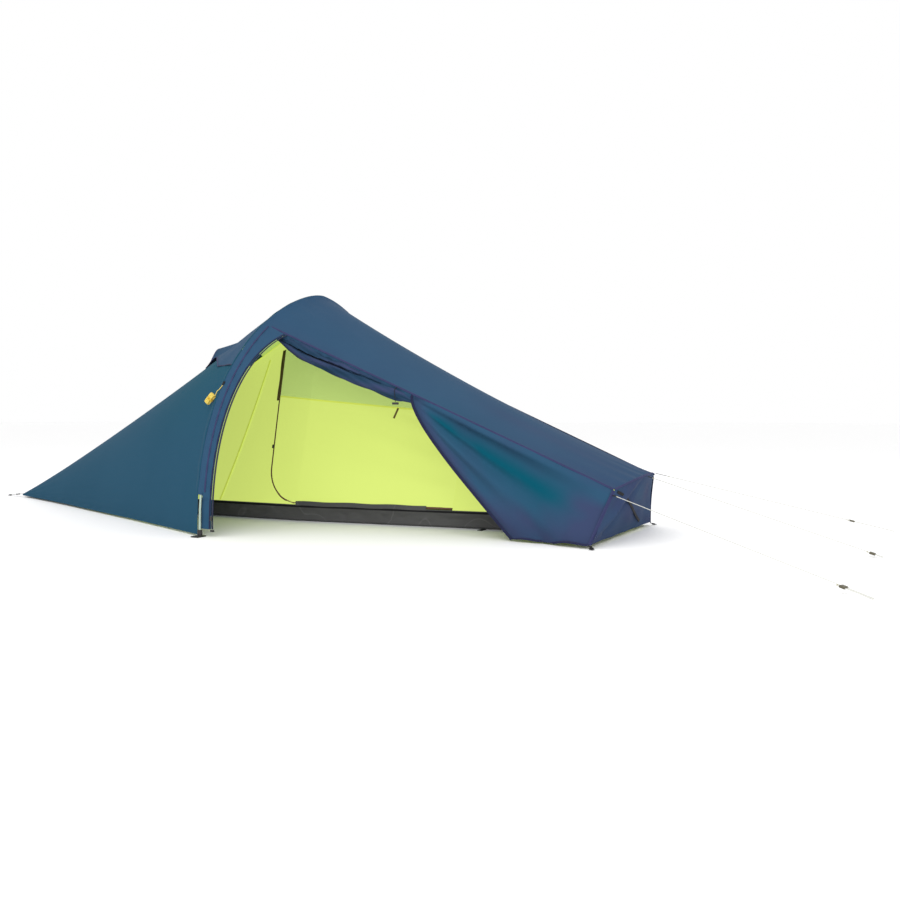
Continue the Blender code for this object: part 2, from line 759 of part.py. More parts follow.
def build_door_panel():
    """The free part of the door: hangs from the roof seam and the end wall's edge."""
    top = 1 - 3 * SEAM_GAP
    corner = np.array([HEM_CORNER[0], HEM_CORNER[1], HEM_HEIGHT * 0.5])
    foot = foot_side_edge(0, -1) - np.array([0.004, 0.0, 0.004])
    cols = np.linspace(0, 1, 19)
    rows = np.linspace(0, 1, 11)
    x_end = foot_side_edge(1, -1)[0] - 0.004
    grid = []
    for c in cols:
        x = DOOR_FREE_START + (x_end - DOOR_FREE_START) * c
        head = seam_at_x(x, 1 - top)
        low = lerp(corner, foot, c)
        line = []
        for r in rows:
            place = lerp(head, low, r)
            swell = DOOR_SWELL * math.sin(math.pi * r**0.55) * (1 - c) ** 1.5
            place = place + swell * np.array([-0.85, -0.10, -0.50])
            fold = 0.011 * math.sin(9.5 * c + 0.6) * r**1.4 * math.sin(math.pi * c)
            belly = 0.022 * math.sin(math.pi * r) * math.sin(math.pi * c)
            place[1] -= fold + belly
            place[2] = max(place[2], HEM_HEIGHT * 0.45)
            line.append(place)
        grid.append(line)
    sheet("fly_door_panel", grid, "fly")


def build_door_roll():
    """The rolled part of the door, tucked under the roof seam and thinner to the toggle."""
    places, radii = [], []
    for k in np.linspace(0, 1, 13):
        x = ROLL_START + (ROLL_END - ROLL_START) * k
        radius = ROLL_RADIUS_START + (ROLL_RADIUS_END - ROLL_RADIUS_START) * k**0.8
        places.append(seam_at_x(x) + np.array([0.0, 0.010, -radius - 0.004]))
        radii.append(radius * (0.55 if k in (0.0, 1.0) else 1.0))
    rod("fly_door_roll", places, radii, "fly", 14)
    end = seam_at_x(ROLL_END - 0.022)
    front = ROLL_RADIUS_END + 0.0045
    drop = ROLL_RADIUS_END * 2 + 0.013
    loop = [
        end + np.array([0.0, -0.0040, -0.0010]),
        end + np.array([0.0, 0.010 - front, -0.012]),
        end + np.array([0.0, 0.010 - front, -ROLL_RADIUS_END]),
        end + np.array([0.0, 0.004 - front * 0.62, 0.0065 - drop]),
    ]
    rod("toggle_loop", smooth_path(loop, 11), 0.0012, "webbing", 8)
    toggle = cylinder("door_toggle", TOGGLE_RADIUS, TOGGLE_LENGTH, "plastic", 16)
    toggle.rotation_euler = (0.0, math.radians(90), 0.0)
    toggle.location = (end[0], end[1] + 0.004 - front * 0.62, end[2] - drop + 0.0005)


# ---------------------------------------------------------------- straps and guy lines
def ring(name, place, direction, kind="plastic"):
    """A D ring for a peg: its straight bar lies across the strap's eye, at place."""
    half = EYE_WIDTH / 2 + RING_CLEARANCE + RING_WIRE / 2
    centres = [np.array([0.0, y, 0.0]) for y in np.linspace(-half, half, 5)]
    for w in np.linspace(-90, 90, 13)[1:-1]:
        a = math.radians(w)
        centres.append(
            np.array([RING_REACH * math.cos(a) + 0.0015, -half * math.sin(-a), 0.0])
        )
    centres = centres[:5] + centres[5:][::-1]
    count = len(centres)
    rings = []
    for k in range(count):
        t = centres[(k + 1) % count] - centres[k - 1]
        t /= np.linalg.norm(t)
        out = np.array([t[1], -t[0], 0.0])
        up = np.array([0.0, 0.0, 1.0])
        rings.append(
            [
                centres[k] + RING_WIRE / 2 * (math.cos(q) * out + math.sin(q) * up)
                for q in np.linspace(0, 2 * math.pi, 9)[:-1]
            ]
        )
    made = loft(name, rings, kind, closed=True)
    aim(made, place, direction)
    return made


def strap(name, start, end, width, slot=None):
    """Flat webbing from start to end, with a slot near its end when asked."""
    start, end = np.asarray(start, float), np.asarray(end, float)
    run = end - start
    length = float(np.linalg.norm(run))
    made = block(name, (length, width, WEBBING), "webbing")
    aim(made, (start + end) / 2, run)
    if slot:
        cutter = block(f"{name}_slot", (slot[0], slot[1], 0.02), "webbing")
        aim(cutter, end - run / length * slot[2], run)
        combine(made, cutter, "DIFFERENCE")
    return made


def eye_strap(name, start, end):
    """Webbing whose end is sewn round a ring's bar; the bar lies at end."""
    start, end = np.asarray(start, float), np.asarray(end, float)
    run = (end - start) / np.linalg.norm(end - start)
    made = strap(name, start, end - run * EYE_RADIUS * 0.7, EYE_WIDTH)
    across = np.cross((0.0, 0.0, 1.0), run)
    turned = Vector(across).to_track_quat("Z", "Y").to_matrix().to_4x4()
    eye = cylinder(f"{name}_eye", EYE_RADIUS, EYE_WIDTH, "webbing", 16)
    eye.matrix_world = Matrix.Translation(Vector(end)) @ turned
    combine(made, eye, "UNION")
    bore = cylinder(f"{name}_bore", RING_WIRE / 2 + EYE_CLEARANCE, 0.05, "webbing", 16)
    bore.matrix_world = Matrix.Translation(Vector(end)) @ turned
    combine(made, bore, "DIFFERENCE")
    return made


def build_head_strap():
    tip = head_point(0.5, HEAD_TIP_SHARE)
    start = np.array([tip[0] - 0.0008, 0.0, tip[2]])
    end = start + np.array([-HEAD_STRAP_LENGTH, 0.0, EYE_HEIGHT - tip[2]])
    eye_strap("head_strap", start, end)
    ring("head_ring", end, (-1.0, 0.0, -RING_TILT))
    middle = lerp(start, end, 0.42)
    buckle = block("head_buckle", (0.012, 0.020, 0.0062), "plastic", bevel=0.0010)
    aim(buckle, middle, end - start)
    size = (0.05, EYE_WIDTH + BUCKLE_CLEARANCE, WEBBING + BUCKLE_CLEARANCE)
    slot = block("head_buckle_slot", size, "plastic")
    aim(slot, middle, end - start)
    combine(buckle, slot, "DIFFERENCE")


def build_foot_straps():
    for name, side in (("near", -1), ("far", 1)):
        corner = foot_side_edge(0, side)
        out = np.array([0.55, 0.83 * side, 0.0])
        start = corner + np.array([0.0042, 0.0034 * side, -0.0040])
        end = start + out * FOOT_STRAP_LENGTH
        end[2] = EYE_HEIGHT
        eye_strap(f"foot_strap_{name}", start, end)
        ring(f"foot_ring_{name}", end, (out[0], out[1], -RING_TILT))


def guy_ends():
    """For each guy line: where it leaves the fly, its pegged end, end loop and tab lengths."""
    near = foot_side_edge(0.90, -1) + np.array([0.006, -0.002, 0.0])
    far = foot_side_edge(1, 1) + np.array([0.009, 0.008, 0.008])
    mid = foot_top_edge(0.5) + np.array([0.006, 0.0, -0.006])
    starts = {"near": near, "centre": mid, "far": far}
    rows = {}
    for k, name in enumerate(starts):
        peg = np.array([*GUY_PEGS[k], CORD_RADIUS + GUY_GROUND_GAP])
        rows[name] = (starts[name], peg, GUY_LOOPS[k], GUY_TABS[k])
    return rows


def guy_route(start, peg, tab):
    """Points of a taut line: straight from its tab to the peg, round it and back beside itself."""
    away = (peg - start) / np.linalg.norm(peg - start)
    side = np.cross(away, (0.0, 0.0, 1.0))
    side /= np.linalg.norm(side)
    first = start + away * (tab + 0.0016)
    turn = peg - away * RUNNER_LANE
    route = [lerp(first, turn, k) for k in np.linspace(0, 0.97, 9)]
    for w in range(0, 181, 20):
        a = math.radians(w)
        bend = math.sin(a) * away + (1 - math.cos(a)) * side
        route.append(turn + RUNNER_LANE * bend)
    return route, turn, away, side


def build_guys():
    """Each line runs through its runner twice, so the runner shortens the end loop."""
    for name, (start, peg, loop, tab) in guy_ends().items():
        route, turn, away, side = guy_route(start, peg, tab)
        tail = turn + 2 * RUNNER_LANE * side
        reach = loop - RUNNER_LANE + RUNNER[0] / 2 + RUNNER_TAIL
        route += [tail - away * k for k in (reach * 0.5, reach)]
        strap(f"guy_tab_{name}", start, start + away * tab, 0.010, slot=(0.004, 0.005, 0.0045))
        cord(f"guy_line_{name}", route, CORD_RADIUS, "cord")
        body = block(f"guy_runner_{name}", RUNNER, "runner", bevel=0.0012)
        middle = peg - away * loop + side * RUNNER_LANE
        aim(body, middle, away)
        for tag, shift in (("a", -RUNNER_LANE), ("b", RUNNER_LANE)):
            hole = cylinder(f"guy_runner_{name}_{tag}", RUNNER_HOLE, 0.05, "runner", 16)
            turned = Vector(away).to_track_quat("Z", "Y").to_matrix().to_4x4()
            hole.matrix_world = Matrix.Translation(Vector(middle + side * shift)) @ turned
            combine(body, hole, "DIFFERENCE")


def build_storm_guy():
    """A spare guy line tied into a hank, hanging from a tab at the near side of the sleeve."""
    share = share_at_height(STORM_TAB_HEIGHT)
    out = hoop_normal(share)
    down = -np.array([0.0, *hoop_slope(share)])
    root = hoop_point(share) + out * (WEBBING / 2 + 0.0008)
    places = [root + down * k for k in (0.0, 0.008, 0.016)]
    ribbon("storm_guy_tab", places, [out] * 3, 0.010, WEBBING, "webbing")
    top = places[-1] + down * 0.0024
    neck = top + np.array([-0.022, -0.020, -0.032])
    low = neck + np.array([-0.038, -0.012, -0.044])
    run = [lerp(top, neck, k) for k in (0.0, 0.5, 0.92)]
    radii = [CORD_RADIUS] * 3
    for k, r in ((0.0, 0.35), (0.10, 0.75), (0.3, 0.95), (0.5, 1.0), (0.7, 0.95), (0.9, 0.75)):
        run.append(lerp(neck, low, k))
        radii.append(HANK_RADIUS * r)
    run.append(low)
    radii.append(HANK_RADIUS * 0.35)
    rod("storm_guy_hank", run, radii, "cord", 12)


def build_end_tape():
    """Flat zipped tape across the end wall, from the near top corner down to the far side."""
    start, end = (0.93, 0.045), (0.12, 0.740)
    places, normals = [], []
    for k in np.linspace(0.0, 1.0, 9):
        b = start[0] + (end[0] - start[0]) * k
        c = start[1] + (end[1] - start[1]) * k
        flat = lerp(foot_side_edge(b, -1), foot_side_edge(b, 1), c)
        crown = foot_top_edge(c) - lerp(foot_side_edge(1, -1), foot_side_edge(1, 1), c)
        out = np.array([1.0, 0.0, -0.30])
        out /= np.linalg.norm(out)
        places.append(flat + crown * b + np.array([0.0015, 0.0, 0.0]) + out * 0.0030)
        normals.append(out)
    ribbon("end_vent_tape", places, normals, 0.010, 0.0018, "webbing")


# ---------------------------------------------------------------- inner tent
def along_inner(values, x):
    """A value that runs straight from the head to the hoop and on to the foot."""
    return float(np.interp(x, (INNER_HEAD_X, 0.0, INNER_FOOT_X), values))


WALL_FOOT = FLOOR_WALL + 0.0015


def inner_stations(lo, hi, count):
    """Even stations from lo to hi, with one moved to the hoop if it lies between."""
    stops = np.linspace(lo, hi, count)
    if lo < 0 < hi:
        stops[np.argmin(np.abs(stops))] = 0.0
    return stops


def near_wall(x, share):
    low = np.array([x, along_inner(NEAR_EDGE_Y, x) + 0.0015, WALL_FOOT])
    high = np.array([x, along_inner(RIDGE_Y, x), along_inner(RIDGE_Z, x)])
    return lerp(low, high, share)


def wall_run(x):
    return float(np.linalg.norm(near_wall(x, 1) - near_wall(x, 0)))


def near_wall_at(x, v):
    """Point on the near wall at a distance v up from the floor's edge."""
    return near_wall(x, v / wall_run(x))


def wall_out(x, v):
    du = near_wall_at(x + 0.01, v) - near_wall_at(x - 0.01, v)
    dv = near_wall_at(x, v + 0.01) - near_wall_at(x, v - 0.01)
    out = np.cross(du, dv)
    return out / np.linalg.norm(out)


def zip_place(x, v):
    """Point on the near wall; above the door's corner the height is read at the zip."""
    if v > ZIP_FOOT + DOOR_CORNER_RADIUS:
        return near_wall(x, v / wall_run(INNER_ZIP_X))
    return near_wall_at(x, v)


ZIP_FOOT = 0.011
ZIP_CLEAR = CHAIN_WIDTH / 2 + SEAM_GAP * 2


def zip_x(v, clear):
    """Where the door's zip is at height v; positive clear moves into the door."""
    bend = ZIP_FOOT + DOOR_CORNER_RADIUS
    if v >= bend:
        return INNER_ZIP_X + clear - INNER_ZIP_LEAN * (v - bend)
    reach = DOOR_CORNER_RADIUS - clear
    up = min(bend - v, reach)
    return INNER_ZIP_X + DOOR_CORNER_RADIUS - math.sqrt(max(reach**2 - up**2, 0.0))


def wall_rows(clear):
    """Heights up the wall whose lowest ones follow the door's round corner."""
    reach = DOOR_CORNER_RADIUS - clear
    bend = ZIP_FOOT + DOOR_CORNER_RADIUS
    return [bend - reach * math.cos(math.radians(w)) for w in (0, 15, 30, 45, 60, 75, 90)]


def mesh_edge(x):
    """Height up the wall where the solid cloth ends and the mesh begins."""
    z = np.interp(x, (INNER_ZIP_X, INNER_DOOR_RIGHT), MESH_EDGE_Z)
    top = along_inner(RIDGE_Z, x)
    return float((z - WALL_FOOT) / (top - WALL_FOOT) * wall_run(x))


def build_inner_side_head():
    curve = wall_rows(-ZIP_CLEAR)
    top = DOOR_TOP_SHARE * wall_run(INNER_ZIP_X) - 0.0005
    rows = curve + list(np.linspace(curve[-1], top, 7)[1:])
    grid = []
    for v in rows:
        right = zip_x(v, -ZIP_CLEAR)
        line = []
        for c in np.linspace(0, 1, 10):
            x = INNER_HEAD_X + 0.002 + (right - INNER_HEAD_X - 0.002) * c
            line.append(near_wall(x, v / wall_run(INNER_ZIP_X)))
        grid.append(line)
    sheet("inner_side_head", grid, "lime")


def build_inner_door():
    curve = wall_rows(ZIP_CLEAR)
    edge = mesh_edge(INNER_ZIP_X) - SEAM_GAP
    rows = curve + list(np.linspace(curve[-1], edge, 6)[1:])
    right = INNER_DOOR_RIGHT - SEAM_GAP
    grid = []
    for v in rows:
        left = zip_x(v, ZIP_CLEAR)
        part = (v - rows[0]) / (edge - rows[0])
        line = []
        for x in inner_stations(left, right, 14):
            height = rows[0] + (mesh_edge(x) - SEAM_GAP - rows[0]) * part
            line.append(near_wall_at(x, height))
        grid.append(line)
    sheet("inner_door", grid, "lime")
    grid = []
    for part in np.linspace(0, 1, 5):
        v = edge + (DOOR_TOP_SHARE * wall_run(INNER_ZIP_X) - edge) * part
        left = zip_x(v, ZIP_CLEAR)
        line = []
        for x in inner_stations(left, right, 14):
            low = mesh_edge(x) + SEAM_GAP
            high = DOOR_TOP_SHARE * wall_run(x)
            line.append(near_wall_at(x, low + (high - low) * part))
        grid.append(line)
    sheet("inner_door_mesh", grid, "mesh")


def build_inner_side_foot():
    left = INNER_DOOR_RIGHT + SEAM_GAP
    right = INNER_FOOT_X - 0.002
    grid = [
        [near_wall(left + (right - left) * c, share) for c in np.linspace(0, 1, 7)]
        for share in np.linspace(0.004, DOOR_TOP_SHARE, 6)
    ]
    sheet("inner_side_foot", grid, "lime")


def build_inner_zip():
    """Zip chain down the door's left edge, round its corner and along its foot."""
    bend = ZIP_FOOT + DOOR_CORNER_RADIUS
    route = [
        (zip_x(v, 0.0), v)
        for v in np.linspace(DOOR_TOP_SHARE * wall_run(INNER_ZIP_X) - 0.004, bend, 12)
    ]
    for w in (15, 30, 45, 60, 75, 90):
        a = math.radians(w)
        route.append(
            (
                INNER_ZIP_X + DOOR_CORNER_RADIUS * (1 - math.cos(a)),
                bend - DOOR_CORNER_RADIUS * math.sin(a),
            )
        )
    start = INNER_ZIP_X + DOOR_CORNER_RADIUS
    route += [(x, ZIP_FOOT) for x in np.linspace(start, INNER_DOOR_RIGHT - 0.006, 12)[1:]]
    places = [zip_place(x, v) for x, v in route]
    normals = [wall_out(x, v) for x, v in route]
    ribbon("inner_zip_chain", places, normals, CHAIN_WIDTH, CHAIN_THICKNESS, "zip")
    seat = zip_place(zip_x(bend + 0.085, 0.0), bend + 0.085)
    ahead = zip_place(zip_x(bend + 0.285, 0.0), bend + 0.285)
    out = normals[2]
    slider = block("inner_zip_slider", (SLIDER[2], SLIDER[0], SLIDER[1]), "plastic", bevel=0.0012)
    aim(slider, seat + out * (CHAIN_THICKNESS / 2 + SLIDER[1] / 2 + 0.0008), ahead - seat, out)


def build_inner_trim():
    """Loose flap over the top of the zip, and the tie that holds the rolled-up door."""
    top = DOOR_TOP_SHARE * wall_run(INNER_ZIP_X) - 0.006
    places, normals = [], []
    for v in np.linspace(top, mesh_edge(INNER_ZIP_X) - 0.012, 8):
        x = zip_x(v, 0.0) - 0.003
        normals.append(wall_out(x, v))
        places.append(zip_place(x, v) + normals[-1] * FLAP_LIFT)
    ribbon("inner_zip_flap", places, normals, FLAP_WIDTH, WEBBING, "zip")
    x = DOOR_TIE_X
    edge = mesh_edge(x)
    places, normals = [], []
    for k in np.linspace(0, 1, 4):
        normals.append(wall_out(x, edge))
        v = edge - 0.002 - DOOR_TIE_LENGTH * k
        places.append(near_wall_at(x - 0.014 * k, v) + normals[-1] * DOOR_TIE_LIFT)
    ribbon("inner_door_tie", places, normals, 0.008, WEBBING, "zip")


def build_inner_far_wall():
    """Roof strip over the ridge and the far wall, in one cloth."""
    grid = []
    for x in inner_stations(INNER_HEAD_X + 0.002, INNER_FOOT_X - 0.002, 17):
        ridge = np.array([x, along_inner(RIDGE_Y, x), along_inner(RIDGE_Z, x)])
        start = near_wall(x, DOOR_TOP_SHARE + RIDGE_GAP / wall_run(x))
        shoulder = np.array([x, along_inner(SHOULDER_Y, x), along_inner(SHOULDER_Z, x)])
        foot = np.array([x, along_inner(FAR_EDGE_Y, x) - 0.0015, WALL_FOOT])
        line = [start, lerp(start, ridge, 0.5), ridge]
        line += [lerp(ridge, shoulder, k) for k in (0.34, 0.67, 1.0)]
        line += [lerp(shoulder, foot, k) for k in (0.25, 0.5, 0.75, 1.0)]
        grid.append(line)
    sheet("inner_wall_far", grid, "lime")


def build_inner_end(name, x):
    """Flat wall at the head or the foot of the inner."""
    outward = -1.0 if x < 0 else 1.0
    near = [np.array([x, along_inner(NEAR_EDGE_Y, x) + 0.0015, WALL_FOOT])]
    near.append(np.array([x, along_inner(RIDGE_Y, x), along_inner(RIDGE_Z, x)]))
    near.append(np.array([x, along_inner(SHOULDER_Y, x), along_inner(SHOULDER_Z, x)]))
    near.append(np.array([x, along_inner(FAR_EDGE_Y, x) - 0.0015, WALL_FOOT]))
    shift = np.array([outward * 0.0012, 0.0, 0.0])
    verts = [p + shift for p in near] + [p + shift * (1 + FABRIC / 0.0012) for p in near]
    faces = [[0, 1, 2, 3], [7, 6, 5, 4]]
    faces += [[i, i + 4, (i + 1) % 4 + 4, (i + 1) % 4] for i in range(4)]
    object_from(name, verts, faces, "lime")


def build_floor():
    """Groundsheet with its low walls, as one tray."""
    xs = (INNER_HEAD_X, 0.0, INNER_FOOT_X)
    outline = [(x, along_inner(NEAR_EDGE_Y, x)) for x in xs]
    outline += [(x, along_inner(FAR_EDGE_Y, x)) for x in reversed(xs)]
    outline = np.array(outline)
    inset = []
    count = len(outline)
    for k in range(count):
        a = outline[k] - outline[k - 1]
        b = outline[(k + 1) % count] - outline[k]
        na = np.array([-a[1], a[0]]) / np.linalg.norm(a)
        nb = np.array([-b[1], b[0]]) / np.linalg.norm(b)
        mitre = na + nb
        mitre /= np.dot(mitre, na)
        inset.append(outline[k] + mitre * FLOOR_THICKNESS)
    loops = []
    for line, z in (
        (outline, 0.0),
        (outline, FLOOR_WALL),
        (inset, FLOOR_WALL),
        (inset, FLOOR_THICKNESS),
    ):
        loops.append([(p[0], p[1], z) for p in line])
    loft("inner_floor", loops, "groundsheet", smooth=False)


def build_floor_loop():
    """Webbing peg loop lying on the ground at the groundsheet's near edge."""
    root = np.array([FLOOR_LOOP_X, along_inner(NEAR_EDGE_Y, FLOOR_LOOP_X) - 0.0040, 0.0])
    root[2] = WEBBING / 2 + 0.0004
    end = root + np.array([0.0, -FLOOR_LOOP_REACH, 0.0])
    slot = (0.012, FLOOR_LOOP_WIDTH * 0.55, 0.012)
    strap("floor_peg_loop", root, end, FLOOR_LOOP_WIDTH, slot=slot)


def build_hangers():
    """Short ties between the hoop and the inner: one at the ridge, one at the shoulder."""
    top = np.array([0.0, 0.0, HOOP_HEIGHT - 2 * SLEEVE_RADIUS - 0.0006])
    low = np.array([0.0, 0.0, RIDGE_Z[1] + FABRIC * 1.2])
    rod("inner_hanger_ridge", [low, lerp(low, top, 0.5), top], 0.0020, "plastic", 8)
    shoulder = np.array([0.0, SHOULDER_Y[1], SHOULDER_Z[1]])
    share = 1 - share_at_side(SHOULDER_Y[1] + 0.06)
    out = hoop_normal(share)
    end = hoop_point(share, -2 * SLEEVE_RADIUS - 0.0006)
    line = end - shoulder
    line /= np.linalg.norm(line)
    start = shoulder + line * FABRIC * 2.2
    rod("inner_hanger_side", [start, lerp(start, end, 0.5), end - out * 0.001], 0.0020, "plastic", 8)


def clear_scene():
    for old in list(bpy.data.objects):
        bpy.data.objects.remove(old, do_unlink=True)


def main():
    clear_scene()
    build_pole()
    build_shock_cord()
    build_sleeve()
    build_pole_foot("pole_foot_near", -1)
    build_pole_foot("pole_foot_far", 1)
    build_roof()
    build_far_side()
    build_end_wall()
    build_head()
    build_hood()
    build_stay()
    build_band()
    build_fly_zip()
    build_hem_hook()
    build_door_panel()
    build_door_roll()
    build_head_strap()
    build_foot_straps()
    build_guys()
    build_storm_guy()
    build_end_tape()
    build_floor()
    build_floor_loop()
    build_inner_side_head()
    build_inner_door()
    build_inner_side_foot()
    build_inner_zip()
    build_inner_trim()
    build_inner_far_wall()
    build_inner_end("inner_head_wall", INNER_HEAD_X)
    build_inner_end("inner_foot_wall", INNER_FOOT_X)
    build_hangers()


main()
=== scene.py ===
"""Looks of a one-person single-hoop tent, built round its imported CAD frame. Metres, +Z up.

+X runs from the hoop to the foot end, +Y away from the door side. Cloth panels are rebuilt
as thin sheets on the same surfaces as the CAD slabs, with folds, seams and bindings.
"""

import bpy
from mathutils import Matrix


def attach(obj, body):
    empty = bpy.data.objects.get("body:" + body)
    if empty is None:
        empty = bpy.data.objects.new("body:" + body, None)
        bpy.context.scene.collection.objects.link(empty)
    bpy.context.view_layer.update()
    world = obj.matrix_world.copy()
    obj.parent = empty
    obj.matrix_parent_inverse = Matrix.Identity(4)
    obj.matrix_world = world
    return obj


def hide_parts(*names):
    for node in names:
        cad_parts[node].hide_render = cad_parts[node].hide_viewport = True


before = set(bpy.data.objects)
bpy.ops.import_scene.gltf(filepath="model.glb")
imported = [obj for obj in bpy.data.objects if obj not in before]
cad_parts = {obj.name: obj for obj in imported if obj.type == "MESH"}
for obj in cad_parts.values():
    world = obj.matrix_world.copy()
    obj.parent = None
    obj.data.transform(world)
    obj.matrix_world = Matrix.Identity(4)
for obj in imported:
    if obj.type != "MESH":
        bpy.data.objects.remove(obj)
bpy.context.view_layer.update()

import math

import bmesh
import bpy
import numpy as np
from mathutils import Vector

TENT = "tent"
LEAF = "inner_door_leaf"

# ---------------------------------------------------------------- dimensions shared with the frame
HOOP_HEIGHT = 1.000
HOOP_HALF_WIDTH = 0.784
HOOP_SIDE_POWER = 1.285
HOOP_TOP_POWER = 0.840
HEAD_LENGTH = 2.119
FOOT_LENGTH = 1.403
FOOT_HALF_WIDTH = 0.377
FOOT_TOP_SIDES = (-0.238, 0.267)
FOOT_HEIGHTS = (0.195, 0.217)
FOOT_CROWN = 0.029
FOOT_CORNER_LEAN = 0.042
FOOT_CROWN_LEAN = 0.045
SEAM_HALF_WIDTH = 0.390
HEM_HEIGHT = 0.014
HOOP_HEM_HEIGHT = 0.030
HEAD_HEM_HEIGHT = 0.008
HEAD_HOLLOW = 0.030
HEAD_HOLLOW_POWERS = (0.69, 0.87)
HEM_HOLLOW = 0.020
ROOF_HOLLOW = 0.038
ROOF_HOLLOW_POWERS = (0.86, 0.71)
SLEEVE_RADIUS = 0.0100
SLEEVE_END_HEIGHT = 0.160
PANEL_START = 0.0112
PANEL_OFFSET = -0.008
BEHIND_POLE = 0.0230
BAND_WIDTH_LOW = 0.045
BAND_WIDTH_TOP = 0.100
CHAIN_WIDTH = 0.008
HEAD_TIP_SHARE = 0.014
VENT_REACH = (0.175, 0.430)
VENT_SHARE = 0.085
HOOD_HALF_WIDTH = 0.580
HOOD_REACHES = (0.612, 0.565, 0.400, 0.190)
HOOD_STOPS = (0.0, 0.360, 0.560, 1.0)
HOOD_START = 0.300
HOOD_TAPER = 0.140
HOOD_LIFT = 0.090
HOOD_ARCH_LIFT = 0.030
HOOD_CLEARANCE = 0.0045
ROLL_START = 0.120
ROLL_END = 0.622
DOOR_FREE_START = 0.664
ROLL_RADIUS_START = 0.033
ROLL_RADIUS_END = 0.026
HEM_CORNER = (1.090, -0.330)
DOOR_SWELL = 0.038
CORD_RADIUS = 0.00125
RUNNER_LANE = 0.0042
RUNNER_HALF = 0.009
RUNNER_TAIL = 0.006
GUYS = {
    "near": ((1.4468, -0.2539, 0.1769), (2.304, -0.837, 0.00225), 0.088, 0.016),
    "centre": ((1.496, 0.0145, 0.229), (2.297, -0.103, 0.00225), 0.032, 0.016),
    "far": ((1.454, 0.275, 0.225), (2.307, 0.631, 0.00225), 0.165, 0.048),
}
STORM_TAB_HEIGHT = 0.590
INNER_HEAD_X = -0.800
INNER_FOOT_X = 1.300
FLOOR_WALL = 0.066
WALL_FOOT = 0.0675
NEAR_EDGE_Y = (-0.215, -0.197, -0.010)
FAR_EDGE_Y = (0.400, 0.640, 0.335)
RIDGE_Y = (0.030, 0.000, 0.100)
RIDGE_Z = (0.500, 0.920, 0.235)
SHOULDER_Y = (0.270, 0.420, 0.240)
SHOULDER_Z = (0.370, 0.690, 0.190)
INNER_ZIP_X = -0.165
INNER_ZIP_LEAN = 0.065
INNER_DOOR_RIGHT = 0.720
DOOR_CORNER_RADIUS = 0.165
DOOR_TOP_SHARE = 0.935
ZIP_FOOT = 0.011
MESH_EDGE_Z = (0.545, 0.463)
CLOTH = 0.0008
SLEEVE_CREST = 0.0045
ONTO_SLEEVE_RISE = 0.0078
ONTO_SLEEVE_REACH = 0.036
END_HOLLOW = 0.014
SEAM_LOW = (-0.428, 0.010)
SEAM_HIGH = (-0.293, 0.930)
FLOOR_FLAT = 0.03
FLOOR_MIDDLE = (0.25, 0.15, 0.0)
KNOT_TURNS = 1.6
HANK_TURNS = 7
HANK_WRAP_TURNS = 3.2
FLOOR_HALF_SIZE = 60.0
FLOOR_SHADE = (0.985, 0.985, 0.985, 1.0)
CAMERA_PLACE = (2.402, -3.246, 0.454)
CAMERA_TURN = (math.pi / 2 - 0.038, 0.0, 0.493)
CAMERA_LENS = 35.2


# ---------------------------------------------------------------- small maths
def lerp(a, b, t):
    return np.asarray(a, float) * (1 - t) + np.asarray(b, float) * t


def unit(v):
    v = np.asarray(v, float)
    return v / (np.linalg.norm(v, axis=-1, keepdims=True) + 1e-12)


def smooth_step(a, b, x):
    t = np.clip((np.asarray(x, float) - a) / (b - a), 0, 1)
    return t * t * (3 - 2 * t)


def noise(u, v, seed=0):
    """Smooth random field between -1 and 1, the same on every run."""
    u, v = np.broadcast_arrays(np.asarray(u, float), np.asarray(v, float))
    i, j = np.floor(u), np.floor(v)
    a, b = u - i, v - j
    a, b = a * a * (3 - 2 * a), b * b * (3 - 2 * b)

    def corner(p, q):
        x = np.sin(p * 127.1 + q * 311.7 + seed * 74.7) * 43758.5453
        return 2 * (x - np.floor(x)) - 1

    low = corner(i, j) * (1 - a) + corner(i + 1, j) * a
    high = corner(i, j + 1) * (1 - a) + corner(i + 1, j + 1) * a
    return low * (1 - b) + high * b


def hollow_curve(run, powers):
    rise, fall = powers
    peak = rise / (rise + fall)
    deepest = peak**rise * (1 - peak) ** fall
    run = np.clip(run, 0, 1)
    return run**rise * (1 - run) ** fall / deepest


# ---------------------------------------------------------------- surfaces of the frame
def hoop_outline():
    t = np.linspace(0, math.pi, 1441)
    c = np.cos(t)
    y = -HOOP_HALF_WIDTH * np.sign(c) * np.abs(c) ** HOOP_SIDE_POWER
    z = HOOP_HEIGHT * np.abs(np.sin(t)) ** HOOP_TOP_POWER
    line = np.stack([y, z], axis=1)
    run = np.concatenate([[0], np.cumsum(np.linalg.norm(np.diff(line, axis=0), axis=1))])
    stops = np.linspace(0, run[-1], 401)
    return np.stack([np.interp(stops, run, line[:, k]) for k in (0, 1)], axis=1), run[-1]


HOOP, HOOP_RUN = hoop_outline()
HOOP_SHARE = np.linspace(0, 1, len(HOOP))


def hoop_at(share):
    share = np.clip(np.asarray(share, float), 0, 1)
    return np.stack([np.interp(share, HOOP_SHARE, HOOP[:, k]) for k in (0, 1)], axis=-1)


def hoop_normal(share):
    slope = unit(hoop_at(np.asarray(share) + 0.006) - hoop_at(np.asarray(share) - 0.006))
    return np.stack([np.zeros(slope.shape[:-1]), -slope[..., 1], slope[..., 0]], axis=-1)


def hoop_point(share, offset=0.0, x=0.0):
    flat = hoop_at(share)
    place = np.stack([np.full(flat.shape[:-1], float(x)), flat[..., 0], flat[..., 1]], axis=-1)
    return place + offset * hoop_normal(share)


